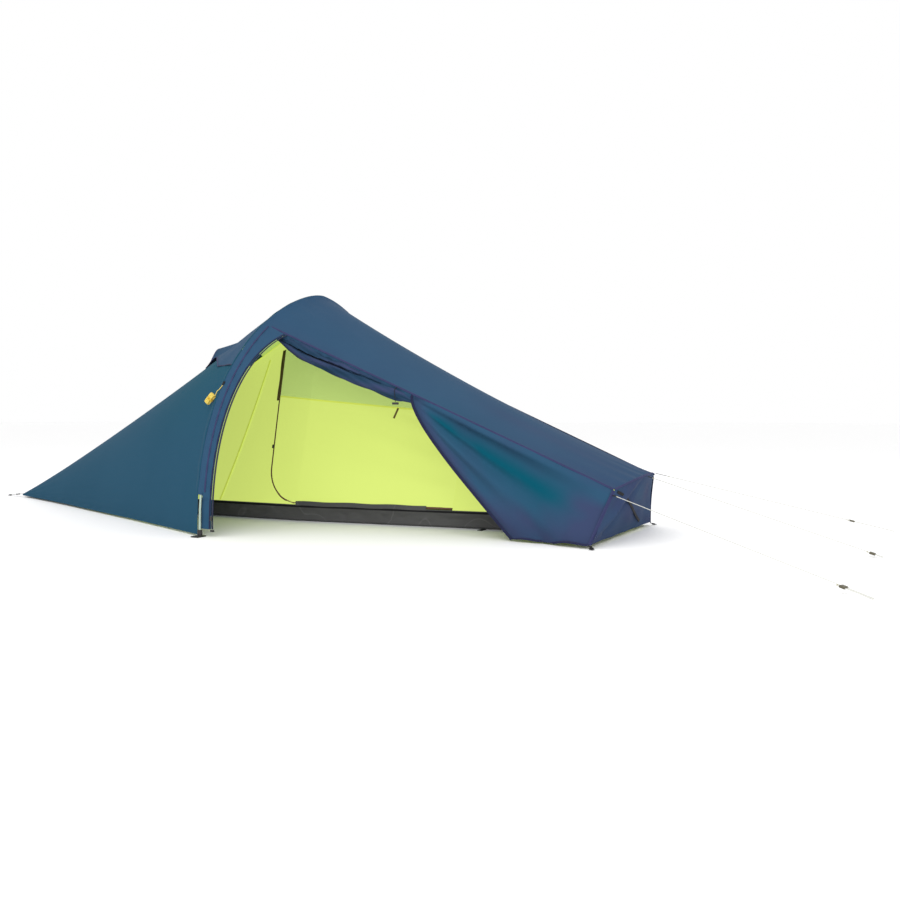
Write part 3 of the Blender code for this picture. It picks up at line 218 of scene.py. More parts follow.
def onto_sleeve(x):
    """How far cloth rises off its panel's line to run up onto the sleeve, x from the hoop."""
    run = (ONTO_SLEEVE_REACH - x) / (ONTO_SLEEVE_REACH - SLEEVE_CREST)
    return ONTO_SLEEVE_RISE * np.clip(run, 0, 1) ** 1.3


def share_at_height(height):
    half = len(HOOP) // 2
    return float(np.interp(height, HOOP[:half, 1], HOOP_SHARE[:half]))


def share_at_side(side):
    half = len(HOOP) // 2 + 1
    return float(np.interp(-side, HOOP[:half, 0], HOOP_SHARE[:half]))


HEM_SHARE = share_at_height(HOOP_HEM_HEIGHT)
SEAM_SHARE = share_at_side(SEAM_HALF_WIDTH)
HOOD_SHARE = share_at_side(HOOD_HALF_WIDTH)
SLEEVE_SHARE = share_at_height(SLEEVE_END_HEIGHT)


def foot_side_edge(share, side):
    which = 0 if side < 0 else 1
    low = np.array([FOOT_LENGTH, FOOT_HALF_WIDTH * side, HEM_HEIGHT])
    high = np.array([FOOT_LENGTH + FOOT_CORNER_LEAN, FOOT_TOP_SIDES[which], FOOT_HEIGHTS[which]])
    return lerp(low, high, np.asarray(share, float)[..., None])


def foot_top_edge(share):
    share = np.asarray(share, float)[..., None]
    flat = lerp(foot_side_edge(1, -1), foot_side_edge(1, 1), share)
    return flat + (1 - (2 * share - 1) ** 2) * np.array([FOOT_CROWN_LEAN, 0.0, FOOT_CROWN])


def side_point(share, along, side=-1):
    near = hoop_point(HEM_SHARE + (SEAM_SHARE - HEM_SHARE) * np.asarray(share, float), PANEL_OFFSET)
    start = near if side < 0 else near * np.array([1, -1, 1])
    return lerp(start, foot_side_edge(share, side), np.asarray(along, float)[..., None])


def side_at_x(share, x, side=-1):
    return side_point(share, x / foot_side_edge(share, side)[..., 0], side)


def side_normal(share):
    return hoop_normal(HEM_SHARE + (SEAM_SHARE - HEM_SHARE) * np.asarray(share, float))


def roof_point(across, along):
    share = SEAM_SHARE + (1 - 2 * SEAM_SHARE) * across
    taut = lerp(hoop_point(share, PANEL_OFFSET), foot_top_edge(across), along[..., None])
    hollow = ROOF_HOLLOW * hollow_curve(along, ROOF_HOLLOW_POWERS)
    hollow = hollow * np.sin(math.pi * np.clip(across, 0, 1)) ** 0.7
    return taut - hoop_normal(share) * hollow[..., None]


def head_point(share, reach):
    share, reach = np.broadcast_arrays(np.asarray(share, float), np.asarray(reach, float))
    tip = np.array([-HEAD_LENGTH, 0.0, HEAD_HEM_HEIGHT])
    edge = hoop_point(share, PANEL_OFFSET, -PANEL_START)
    depth = HEM_HOLLOW + (HEAD_HOLLOW - HEM_HOLLOW) * np.sin(math.pi * share)
    hollow = depth * hollow_curve(reach, HEAD_HOLLOW_POWERS)
    place = lerp(tip, edge, reach[..., None]) - hoop_normal(share) * hollow[..., None]
    place[..., 2] = np.maximum(place[..., 2], HEAD_HEM_HEIGHT * 0.9)
    return place


def hood_point(across, down):
    across, down = np.broadcast_arrays(np.asarray(across, float), np.asarray(down, float))
    share = 0.5 + (0.5 - HOOD_SHARE) * across * (1 - HOOD_TAPER * down)
    side = np.abs(across)
    lip = np.interp(side, HOOD_STOPS, HOOD_REACHES)
    x = -PANEL_START - (lip - PANEL_START) * down
    reach = (x + HEAD_LENGTH) / (HEAD_LENGTH - PANEL_START)
    run = np.maximum((-x - HOOD_START) / (HOOD_REACHES[0] - HOOD_START), 0)
    swing = math.pi / 2 * np.minimum(side / HOOD_STOPS[1], 1.0)
    lift = HOOD_LIFT * np.cos(swing) ** 2 * run
    past = np.clip((side - HOOD_STOPS[1]) / (2 * (HOOD_STOPS[2] - HOOD_STOPS[1])), 0, 1)
    lift = lift + HOOD_ARCH_LIFT * np.sin(math.pi * past) ** 2 * run
    place = head_point(share, reach) + hoop_normal(share) * HOOD_CLEARANCE
    return place + np.stack([0 * lift, 0 * lift, lift], axis=-1)


def along_inner(values, x):
    return np.interp(x, (INNER_HEAD_X, 0.0, INNER_FOOT_X), values)


def near_wall(x, share):
    x, share = np.broadcast_arrays(np.asarray(x, float), np.asarray(share, float))
    low_y = along_inner(NEAR_EDGE_Y, x) + 0.0015
    low = np.stack([x, low_y, np.full(x.shape, WALL_FOOT)], axis=-1)
    high = np.stack([x, along_inner(RIDGE_Y, x), along_inner(RIDGE_Z, x)], axis=-1)
    return lerp(low, high, share[..., None])


def wall_run(x):
    return np.linalg.norm(near_wall(x, 1) - near_wall(x, 0), axis=-1)


def near_wall_at(x, v):
    return near_wall(x, v / wall_run(x))


def wall_out(x, v):
    du = near_wall_at(x + 0.01, v) - near_wall_at(x - 0.01, v)
    dv = near_wall_at(x, v + 0.01) - near_wall_at(x, v - 0.01)
    return unit(np.cross(du, dv))


def zip_x(v, clear):
    bend = ZIP_FOOT + DOOR_CORNER_RADIUS
    if v >= bend:
        return INNER_ZIP_X + clear - INNER_ZIP_LEAN * (v - bend)
    reach = DOOR_CORNER_RADIUS - clear
    up = min(bend - v, reach)
    return INNER_ZIP_X + DOOR_CORNER_RADIUS - math.sqrt(max(reach**2 - up**2, 0.0))


def zip_place(x, v):
    if v > ZIP_FOOT + DOOR_CORNER_RADIUS:
        return near_wall(x, v / wall_run(INNER_ZIP_X))
    return near_wall_at(x, v)


def mesh_edge(x):
    z = np.interp(x, (INNER_ZIP_X, INNER_DOOR_RIGHT), MESH_EDGE_Z)
    return (z - WALL_FOOT) / (along_inner(RIDGE_Z, x) - WALL_FOOT) * wall_run(x)


# ---------------------------------------------------------------- materials
def new_material(name, rough, sheen=0.0, metallic=0.0, gloss=0.12):
    made = bpy.data.materials.new(name)
    made.use_nodes = True
    tree = made.node_tree
    shader = tree.nodes["Principled BSDF"]
    shader.inputs["Roughness"].default_value = rough
    shader.inputs["Metallic"].default_value = metallic
    shader.inputs["Sheen Weight"].default_value = sheen
    shader.inputs["Sheen Roughness"].default_value = 0.45
    shader.inputs["Specular IOR Level"].default_value = gloss
    return made, tree, shader


def add(tree, kind, values=None, **settings):
    node = tree.nodes.new(kind)
    for key, value in settings.items():
        setattr(node, key, value)
    for key, value in (values or {}).items():
        node.inputs[key].default_value = value
    return node


def math_node(tree, operation, a, b=None, c=None):
    node = add(tree, "ShaderNodeMath", operation=operation)
    for socket, value in zip(node.inputs, (a, b, c)):
        if value is None:
            continue
        if isinstance(value, (int, float)):
            socket.default_value = value
        else:
            tree.links.new(value, socket)
    return node.outputs[0]


def mix_color(tree, factor, a, b):
    node = add(tree, "ShaderNodeMix", data_type="RGBA")
    for socket, value in ((node.inputs[0], factor), (node.inputs[6], a), (node.inputs[7], b)):
        if isinstance(value, (int, float)):
            socket.default_value = value
        elif isinstance(value, tuple):
            socket.default_value = (*value, 1.0)
        else:
            tree.links.new(value, socket)
    return node.outputs[2]


def bump_node(tree, height, strength, distance, before=None):
    node = add(tree, "ShaderNodeBump", {"Strength": strength, "Distance": distance})
    tree.links.new(height, node.inputs["Height"])
    if before is not None:
        tree.links.new(before, node.inputs["Normal"])
    return node.outputs[0]


def noise_node(tree, vector, scale, detail=3.0):
    node = add(tree, "ShaderNodeTexNoise", {"Scale": scale, "Detail": detail})
    tree.links.new(vector, node.inputs["Vector"])
    return node.outputs["Fac"]


def grid_lines(tree, value, pitch, width):
    """1 on thin lines every pitch metres along value, else 0."""
    turn = math_node(tree, "FRACT", math_node(tree, "DIVIDE", value, pitch))
    return math_node(tree, "LESS_THAN", turn, width / pitch)


def uv_axes(tree):
    """Metres along a piece and across it, read from its UV layer."""
    uv = add(tree, "ShaderNodeUVMap", uv_map="metres")
    split = add(tree, "ShaderNodeSeparateXYZ")
    tree.links.new(uv.outputs[0], split.inputs[0])
    return split.outputs[0], split.outputs[1]


def cloth(name, color, deep, glow=None, rough=0.6, sheen=0.2, ripstop=0.006, bump=0.25,
          lit=0.0, gloss=0.12, creased=0.0):
    """Thin woven nylon: fine weave, a ripstop grid, soft colour variation, painted glow and painted
    shade.
    """
    made, tree, shader = new_material(name, rough, sheen, gloss=gloss)
    # painted light: with lit, the cloth glows by emission in a paler copy of its colour
    if lit:
        shader.inputs["Emission Color"].default_value = (*(min(1.0, c * 1.6) for c in color), 1.0)
        shader.inputs["Emission Strength"].default_value = lit
    u, v = uv_axes(tree)
    place = add(tree, "ShaderNodeTexCoord").outputs["Object"]
    broad = noise_node(tree, place, 3.5, 4.0)
    tint = math_node(tree, "MULTIPLY", math_node(tree, "SUBTRACT", broad, 0.35), 1.3)
    tint = math_node(tree, "MAXIMUM", math_node(tree, "MINIMUM", tint, 1.0), 0.0)
    base = mix_color(tree, tint, color, deep)
    # painted light: the glow attribute mixes in the colour of light showing through the cloth
    if glow:
        bright = add(tree, "ShaderNodeAttribute", attribute_name="glow")
        base = mix_color(tree, bright.outputs["Fac"], base, glow)
        # violet mixes in a purple cast; on the rolled door it is a painted highlight along the
        # ridges
        violet = add(tree, "ShaderNodeAttribute", attribute_name="violet")
        base = mix_color(tree, violet.outputs["Fac"], base, VIOLET)
    # painted shade: the shade attribute darkens towards a quarter of the deep colour
    shade = add(tree, "ShaderNodeAttribute", attribute_name="shade")
    dark = tuple(c * 0.25 for c in deep)
    base = mix_color(tree, shade.outputs["Fac"], base, dark)
    lines = math_node(
        tree, "MAXIMUM", grid_lines(tree, u, ripstop, 0.0006), grid_lines(tree, v, ripstop, 0.0006)
    )
    base = mix_color(tree, math_node(tree, "MULTIPLY", lines, 0.10), base, dark)
    grain = noise_node(tree, place, 900.0, 2.0)
    base = mix_color(tree, math_node(tree, "MULTIPLY", grain, 0.12), base, dark)
    crease = noise_node(tree, place, 26.0, 5.0)
    if creased:
        fold = noise_node(tree, place, 7.0, 0.0)
        fold = math_node(tree, "ABSOLUTE", math_node(tree, "SUBTRACT", fold, 0.5))
        fold = math_node(tree, "MAXIMUM", math_node(tree, "MULTIPLY_ADD", fold, -70.0, 1.0), 0.0)
        base = mix_color(tree, math_node(tree, "MULTIPLY", fold, creased), base, (0.30, 0.30, 0.30))
        crease = math_node(tree, "ADD", crease, math_node(tree, "MULTIPLY", fold, 0.5))
    tree.links.new(base, shader.inputs["Base Color"])
    normal = bump_node(tree, crease, bump * 0.35, 0.0012)
    normal = bump_node(tree, lines, bump, 0.00012, normal)
    normal = bump_node(tree, grain, bump * 0.5, 0.0001, normal)
    tree.links.new(normal, shader.inputs["Normal"])
    return made


def netting(name, color, deep):
    """Fine knotted net that lets some of what is behind it show."""
    made, tree, shader = new_material(name, 0.8, 0.0)
    # painted light: the net glows by emission in its own colour
    shader.inputs["Emission Color"].default_value = (*color, 1.0)
    shader.inputs["Emission Strength"].default_value = 0.85
    u, v = uv_axes(tree)
    threads = math_node(
        tree, "MAXIMUM", grid_lines(tree, u, 0.0016, 0.0007), grid_lines(tree, v, 0.0016, 0.0007)
    )
    place = add(tree, "ShaderNodeTexCoord").outputs["Object"]
    base = mix_color(tree, noise_node(tree, place, 6.0), color, deep)
    tree.links.new(base, shader.inputs["Base Color"])
    solid = math_node(tree, "MULTIPLY_ADD", threads, 0.35, 0.58)
    tree.links.new(solid, shader.inputs["Alpha"])
    tree.links.new(bump_node(tree, threads, 0.5, 0.0003), shader.inputs["Normal"])
    return made


def tape(name, color, deep, stitch=None, lit=0.0, edge=0.0012, rough=0.75, rib=0.0011):
    """Woven tape or a folded seam: ribs across it, and a row of stitches near each edge."""
    made, tree, shader = new_material(name, rough, 0.01)
    # painted light: lit makes the tape glow by emission in its own colour
    shader.inputs["Emission Color"].default_value = (*color, 1.0)
    shader.inputs["Emission Strength"].default_value = lit
    u, v = uv_axes(tree)
    width = add(tree, "ShaderNodeAttribute", attribute_name="width").outputs["Fac"]
    ribs = math_node(tree, "SINE", math_node(tree, "MULTIPLY", u, 2 * math.pi / rib))
    place = add(tree, "ShaderNodeTexCoord").outputs["Object"]
    base = mix_color(tree, noise_node(tree, place, 40.0), color, deep)
    base = mix_color(tree, math_node(tree, "MULTIPLY_ADD", ribs, 0.06, 0.06), base, deep)
    height = math_node(tree, "MULTIPLY", ribs, 0.3)
    if stitch:
        rim = math_node(tree, "SUBTRACT", width, math_node(tree, "ABSOLUTE", v))
        row = math_node(tree, "ABSOLUTE", math_node(tree, "SUBTRACT", rim, edge))
        row = math_node(tree, "LESS_THAN", row, 0.00035)
        dash = math_node(tree, "FRACT", math_node(tree, "DIVIDE", u, 0.0032))
        thread = math_node(tree, "MULTIPLY", row, math_node(tree, "LESS_THAN", dash, 0.68))
        base = mix_color(tree, thread, base, stitch)
        height = math_node(tree, "ADD", height, math_node(tree, "MULTIPLY", thread, 1.5))
    tree.links.new(base, shader.inputs["Base Color"])
    tree.links.new(bump_node(tree, height, 0.6, 0.0002), shader.inputs["Normal"])
    return made


def woven(name, color, deep, pitch=0.0014):
    """Narrow webbing: a diagonal weave laid out by place, for straps kept from the frame."""
    made, tree, shader = new_material(name, 0.8, 0.02)
    place = add(tree, "ShaderNodeTexCoord").outputs["Object"]
    split = add(tree, "ShaderNodeSeparateXYZ")
    tree.links.new(place, split.inputs[0])
    x, y, z = split.outputs
    turn = 2 * math.pi / pitch
    warp = math_node(tree, "ADD", math_node(tree, "ADD", x, y), z)
    weft = math_node(tree, "SUBTRACT", math_node(tree, "SUBTRACT", x, y), z)
    warp = math_node(tree, "SINE", math_node(tree, "MULTIPLY", warp, turn))
    weft = math_node(tree, "SINE", math_node(tree, "MULTIPLY", weft, turn))
    weave = math_node(tree, "MULTIPLY_ADD", math_node(tree, "MULTIPLY", warp, weft), 0.5, 0.5)
    base = mix_color(tree, weave, deep, color)
    worn = math_node(tree, "MULTIPLY", noise_node(tree, place, 70.0), 0.35)
    base = mix_color(tree, worn, base, tuple(min(1.0, c * 2.2) for c in color))
    tree.links.new(base, shader.inputs["Base Color"])
    tree.links.new(bump_node(tree, weave, 0.6, 0.0002), shader.inputs["Normal"])
    return made


def moulded(name, color, rough, metallic=0.0, grain=600.0, bump=0.15, scuff=0.25):
    """Moulded plastic or drawn metal: fine grain, and paler where edges have rubbed."""
    made, tree, shader = new_material(name, rough, 0.0, metallic, 0.5)
    place = add(tree, "ShaderNodeTexCoord").outputs["Object"]
    fine = noise_node(tree, place, grain, 3.0)
    broad = noise_node(tree, place, 55.0, 4.0)
    light = tuple(min(1.0, c * 1.6 + 0.02) for c in color)
    base = mix_color(tree, math_node(tree, "MULTIPLY", broad, scuff), color, light)
    edge = add(tree, "ShaderNodeNewGeometry").outputs["Pointiness"]
    worn = math_node(tree, "MULTIPLY", math_node(tree, "SUBTRACT", edge, 0.52), 6.0)
    worn = math_node(tree, "MAXIMUM", math_node(tree, "MINIMUM", worn, 0.5), 0.0)
    base = mix_color(tree, worn, base, light)
    tree.links.new(base, shader.inputs["Base Color"])
    spread = math_node(tree, "MULTIPLY_ADD", broad, 0.15, rough - 0.07)
    tree.links.new(spread, shader.inputs["Roughness"])
    tree.links.new(bump_node(tree, fine, bump, 0.0002), shader.inputs["Normal"])
    return made


def braid(name, color, fleck, dark, pitch=0.0035):
    """Round braided cord: strands spiral round it, with a reflective fleck in the braid."""
    made, tree, shader = new_material(name, 0.6, 0.02)
    u, v = uv_axes(tree)
    lay = math_node(tree, "MULTIPLY_ADD", v, 2.0, math_node(tree, "DIVIDE", u, pitch))
    left = math_node(tree, "SINE", math_node(tree, "MULTIPLY", lay, 2 * math.pi))
    back = math_node(tree, "MULTIPLY_ADD", v, -2.0, math_node(tree, "DIVIDE", u, pitch))
    right = math_node(tree, "SINE", math_node(tree, "MULTIPLY", back, 2 * math.pi))
    strands = math_node(tree, "MAXIMUM", left, right)
    base = mix_color(tree, math_node(tree, "MULTIPLY_ADD", strands, 0.25, 0.25), dark, color)
    spot = math_node(tree, "FRACT", math_node(tree, "DIVIDE", u, 0.012))
    spot = math_node(tree, "LESS_THAN", spot, 0.30)
    base = mix_color(tree, spot, base, fleck)
    tree.links.new(base, shader.inputs["Base Color"])
    tree.links.new(bump_node(tree, strands, 0.5, 0.0003), shader.inputs["Normal"])
    return made


NAVY = (0.030, 0.078, 0.145)
NAVY_DEEP = (0.022, 0.062, 0.122)
# painted light: the teal below is the colour of light showing through the fly
TEAL_GLOW = (0.001, 0.072, 0.112)
PURPLE = (0.036, 0.040, 0.112)
VIOLET = (0.040, 0.052, 0.118)
LIME = (0.240, 0.288, 0.064)
MATERIAL = {
    "fly": cloth("fly_nylon", NAVY, NAVY_DEEP, TEAL_GLOW, 0.72, 0.015, gloss=0.03),
    "seam": tape("fly_seam", PURPLE, (0.026, 0.032, 0.085), (0.06, 0.08, 0.16)),
    "binding": tape("fly_binding", (0.022, 0.024, 0.070), (0.012, 0.015, 0.040),
                    (0.04, 0.05, 0.10)),
    # painted light: the inner cloth has a pale lime glow colour, and it and its seam tape glow by
    # emission
    "inner": cloth("inner_nylon", LIME, (0.215, 0.265, 0.056), (0.28, 0.33, 0.09), 0.65, 0.0,
                   0.005, 0.2, 1.30),
    "inner_seam": tape("inner_seam", (0.460, 0.540, 0.075), (0.420, 0.500, 0.065),
                       (0.5, 0.58, 0.2), 0.72),
    "net": netting("inner_net", (0.340, 0.440, 0.130), (0.290, 0.390, 0.110)),
    "ground": cloth("groundsheet_nylon", (0.090, 0.090, 0.089), (0.048, 0.048, 0.048), None,
                    0.55, 0.0, 0.007, 0.8, creased=0.12),
    "webbing": tape("black_webbing", (0.012, 0.012, 0.013), (0.006, 0.006, 0.007),
                    (0.04, 0.04, 0.04)),
    "zip_tape": tape("brown_zip_tape", (0.120, 0.045, 0.025), (0.065, 0.026, 0.016)),
    "zip_coil": moulded("brown_zip_coil", (0.120, 0.050, 0.030), 0.45),
    "fly_zip": moulded("navy_zip_coil", (0.014, 0.018, 0.034), 0.45),
    "flap": tape("olive_flap", (0.170, 0.130, 0.040), (0.105, 0.080, 0.026), (0.3, 0.25, 0.09)),
    "plastic": moulded("black_plastic", (0.010, 0.010, 0.011), 0.42),
    "runner": moulded("runner_plastic", (0.060, 0.052, 0.026), 0.42),
    "alloy": moulded("pole_alloy", (0.300, 0.370, 0.310), 0.40, 0.55, 900.0, 0.08, 0.1),
    "strap": woven("woven_strap", (0.020, 0.020, 0.021), (0.006, 0.006, 0.007)),
    "tie": woven("woven_tie", (0.170, 0.120, 0.040), (0.090, 0.062, 0.022)),
    "elastic": woven("woven_elastic", (0.70, 0.70, 0.69), (0.5, 0.5, 0.5)),
    "cord": braid("guy_cord", (0.46, 0.42, 0.20), (0.60, 0.60, 0.56), (0.28, 0.25, 0.11)),
    "hank": braid("spare_cord", (0.80, 0.50, 0.010), (0.70, 0.55, 0.12), (0.50, 0.26, 0.005)),
}


# ---------------------------------------------------------------- mesh helpers
def link(name, mesh, material, body):
    mesh.materials.append(MATERIAL[material])
    mesh.shade_smooth()
    mesh.set_sharp_from_angle(angle=math.radians(45))
    made = bpy.data.objects.new(name, mesh)
    bpy.context.scene.collection.objects.link(made)
    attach(made, body)
    return made


def write_attributes(mesh, per_vertex, uvs):
    for key, values in per_vertex.items():
        field = mesh.attributes.new(key, "FLOAT", "POINT")
        field.data.foreach_set("value", np.asarray(values, np.float32).ravel())
    layer = mesh.uv_layers.new(name="metres")
    index = np.zeros(len(mesh.loops), np.int32)
    mesh.loops.foreach_get("vertex_index", index)
    layer.data.foreach_set("uv", np.asarray(uvs, np.float32)[index].ravel())


def grid_uv(grid):
    """Distances along the rows and columns of a grid of points, in metres."""
    def run(axis):
        step = np.linalg.norm(np.diff(grid, axis=axis), axis=2)
        pad = np.zeros_like(np.take(step, [0], axis=axis))
        return np.concatenate([pad, np.cumsum(step, axis=axis)], axis=axis)
    return np.stack([run(1), run(0)], axis=-1)


def grid_normals(grid):
    return unit(np.cross(np.gradient(grid, axis=0), np.gradient(grid, axis=1)))


def panel(name, grid, material, body, slot, nodes=(), hole=None, glow=None, shade=None, violet=None,
          held="stretched", rests_on=(), thickness=CLOTH, closed=False):
    """A thin closed sheet round a grid of points, with its UVs in metres."""
    grid = np.asarray(grid, float)
    rows, cols = grid.shape[:2]
    normals = grid_normals(grid)
    outer = (grid + normals * thickness / 2).reshape(-1, 3)
    inner = (grid - normals * thickness / 2).reshape(-1, 3)
    count = rows * cols
    wrap = rows if closed else rows - 1
    faces, edges, open_area = [], {}, 0.0
    for i in range(wrap):
        for j in range(cols - 1):
            if hole is not None and hole(i, j):
                continue
            k = (i + 1) % rows
            ring = [i * cols + j, k * cols + j, k * cols + j + 1, i * cols + j + 1]
            faces.append(ring)
            faces.append([count + n for n in reversed(ring)])
            for a, b in zip(ring, ring[1:] + ring[:1]):
                edges[(a, b)] = 1
            a, b, c, d = (outer[n] for n in ring)
            open_area += np.linalg.norm(np.cross(c - a, d - b)) / 2
    for a, b in list(edges):
        if (b, a) not in edges:
            faces.append([b, a, count + a, count + b])
    used = sorted({n for face in faces for n in face})
    place = {n: k for k, n in enumerate(used)}
    verts = np.vstack([outer, inner])[used]
    mesh = bpy.data.meshes.new(name)
    mesh.from_pydata(verts.tolist(), [], [[place[n] for n in face] for face in faces])
    zero = np.zeros((rows, cols))
    fields = {"glow": glow, "shade": shade, "violet": violet}
    fields = {key: zero if value is None else value for key, value in fields.items()}
    fields = {key: np.tile(np.broadcast_to(value, (rows, cols)).ravel(), 2)[used]
              for key, value in fields.items()}
    uv = grid_uv(grid)
    write_attributes(mesh, fields, np.tile(uv.reshape(-1, 2), (2, 1))[used])
    made = link(name, mesh, material, body)
    if nodes:
        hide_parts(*nodes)
    return made


def fly_panel(name, grid, node, **more):
    return panel(name, grid, "fly", TENT, "fly_cloth", [node], **more)


def inner_panel(name, grid, node, body=TENT, **more):
    return panel(name, grid, "inner", body, "inner_cloth", [node], **more)


def sweep(name, rings, material, body, nodes=(), caps=True, attributes=None):
    """A closed tube through rings of points; U runs along it and V once round it."""
    rings = np.asarray(rings, float)
    count, sides = rings.shape[:2]
    faces = []
    for k in range(count - 1):
        for i in range(sides):
            j = (i + 1) % sides
            faces.append([k * sides + i, k * sides + j, (k + 1) * sides + j, (k + 1) * sides + i])
    if caps:
        faces.append(list(range(sides))[::-1])
        faces.append([(count - 1) * sides + i for i in range(sides)])
    mesh = bpy.data.meshes.new(name)
    mesh.from_pydata(rings.reshape(-1, 3).tolist(), [], faces)
    bm = bmesh.new()
    bm.from_mesh(mesh)
    bmesh.ops.recalc_face_normals(bm, faces=bm.faces)
    bm.to_mesh(mesh)
    bm.free()
    middle = rings.mean(axis=1)
    run = np.concatenate([[0], np.cumsum(np.linalg.norm(np.diff(middle, axis=0), axis=1))])
    u = np.repeat(run, sides)
    v = np.tile(np.linspace(0, 1, sides, endpoint=False), count)
    zero = np.zeros(count * sides)
    fields = {"glow": zero, "shade": zero, "violet": zero, "width": zero + 1.0}
    fields.update(attributes or {})
    write_attributes(mesh, fields, np.stack([u, v], axis=-1))
    made = link(name, mesh, material, body)
    if nodes:
        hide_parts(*nodes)
    return made


def frames(points):
    points = np.asarray(points, float)
    tangents = unit(np.gradient(points, axis=0))
    normal = np.cross(tangents[0], (0.0, 0.0, 1.0))
    if np.linalg.norm(normal) < 0.1:
        normal = np.cross(tangents[0], (1.0, 0.0, 0.0))
    result = []
    for t in tangents:
        normal = unit(normal - t * np.dot(normal, t))
        result.append((t, normal, np.cross(t, normal)))
    return result


def round_rings(points, radii, sides=8):
    """Circles of points round a line, for sweep."""
    points = np.asarray(points, float)
    radii = np.broadcast_to(radii, len(points))
    turns = np.linspace(0, 2 * math.pi, sides, endpoint=False)
    return [
        [p + r * (math.cos(w) * n + math.sin(w) * b) for w in turns]
        for p, r, (_, n, b) in zip(points, radii, frames(points))
    ]


def strip(name, points, normals, width, thickness, material, body=TENT,
          nodes=(), crown=0.3):
    """A flat tape that follows points with its face along normals; slightly crowned."""
    points, normals = np.asarray(points, float), np.asarray(normals, float)
    tangents = unit(np.gradient(points, axis=0))
    widths = np.broadcast_to(width, len(points))
    profile = ((-1, -0.5), (-0.5, -0.5), (0, -0.5), (0.5, -0.5), (1, -0.5),
               (1, 0.5), (0.5, 0.5 + crown * 0.7), (0, 0.5 + crown),
               (-0.5, 0.5 + crown * 0.7), (-1, 0.5))
    rings, across = [], []
    for p, t, n, w in zip(points, tangents, normals, widths):
        side = unit(np.cross(n, t))
        face = np.cross(t, side)
        rings.append([p + side * s * w / 2 + face * h * thickness for s, h in profile])
        across.append([s * w / 2 for s, _ in profile])
    made = sweep(name, rings, material, body, nodes,
                 attributes={"width": np.repeat(widths / 2, len(profile))})
    layer = made.data.uv_layers["metres"].data
    index = np.zeros(len(made.data.loops), np.int32)
    made.data.loops.foreach_get("vertex_index", index)
    uv = np.zeros(len(layer) * 2, np.float32)
    layer.foreach_get("uv", uv)
    uv = uv.reshape(-1, 2)
    uv[:, 1] = np.asarray(across).ravel()[index]
    layer.foreach_set("uv", uv.ravel())
    return made


def resample(points, count):
    points = np.asarray(points, float)
    run = np.concatenate([[0], np.cumsum(np.linalg.norm(np.diff(points, axis=0), axis=1))])
    stops = np.linspace(0, run[-1], count)
    return np.stack([np.interp(stops, run, points[:, k]) for k in range(3)], axis=1)


def repaint(material, *nodes):
    """A better material on CAD nodes whose shape is already right."""
    for name in nodes:
        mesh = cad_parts[name].data
        mesh.materials.clear()
        mesh.materials.append(MATERIAL[material])


# ---------------------------------------------------------------- fly sheet
def build_roof():
    across, along = np.meshgrid(np.linspace(0, 1, 71), np.linspace(0, 1, 101), indexing="ij")
    start = SLEEVE_CREST / (FOOT_LENGTH + FOOT_CORNER_LEAN)
    along = along**1.25
    run = start + (0.998 - start) * along
    grid = roof_point(across, run)
    out = grid_normals(grid)
    rim = np.sin(math.pi * across) ** 0.5
    fan = np.sin(62 * across + 3 * noise(across * 5, run * 3, 2)) * np.exp(-run / 0.05)
    foot = np.sin(44 * across + 2) * np.exp(-(1 - run) / 0.07)
    broad = noise(across * 5, run * 4, 1) * np.sin(math.pi * run)
    out_sign = np.sign(out[35, 50, 2])
    grid = grid + out_sign * out * (0.0012 * fan + 0.0018 * foot + 0.0014 * broad * rim)[..., None]
    rise = onto_sleeve(grid[..., 0])
    grid = grid + hoop_normal(SEAM_SHARE + (1 - 2 * SEAM_SHARE) * across) * rise[..., None]
    # painted light: patches of glow where light shows through the roof
    glow = 0.10 * np.clip(noise(across * 3, run * 3, 5), 0, 1)
    violet = 0.35 * smooth_step(0.3, 1.0, run) + 0.15 * noise(across * 6, run * 6, 9)
    fly_panel("fly_roof_cloth", grid, "fly_roof", glow=glow,
          violet=np.clip(violet, 0, 1),
          rests_on=["pole_sleeve", "fly_end_wall"])


def build_far_side():
    share, along = np.meshgrid(np.linspace(0, 1, 41), np.linspace(0, 1, 71), indexing="ij")
    span = SEAM_SHARE - HEM_SHARE
    above = sleeve_cover(HEM_SHARE + span * share)
    start = (PANEL_START + (SLEEVE_CREST - PANEL_START) * above) / FOOT_LENGTH
    run = start + (0.998 - start) * along**1.25
    grid = side_point(share, run, 1)
    out = side_normal(share) * np.array([1, -1, 1])
    folds = np.sin(30 * run + 8 * share) * (1 - share) ** 2 * np.sin(math.pi * run)
    bow = -0.012 * np.sin(math.pi * share) * np.sin(math.pi * run)
    grid[..., 1] -= END_HOLLOW * np.sin(math.pi * share) * smooth_step(0.80, 1.0, run)
    soft = smooth_step(0.0, 0.1, run) * (0.003 * folds + 0.002 * noise(share * 4, run * 7, 3))
    grid = grid + out * (soft + bow + onto_sleeve(grid[..., 0]) * above)[..., None]
    fly_panel("fly_side_far_cloth", grid, "fly_side_far",
          rests_on=["pole_sleeve", "fly_roof_cloth"])


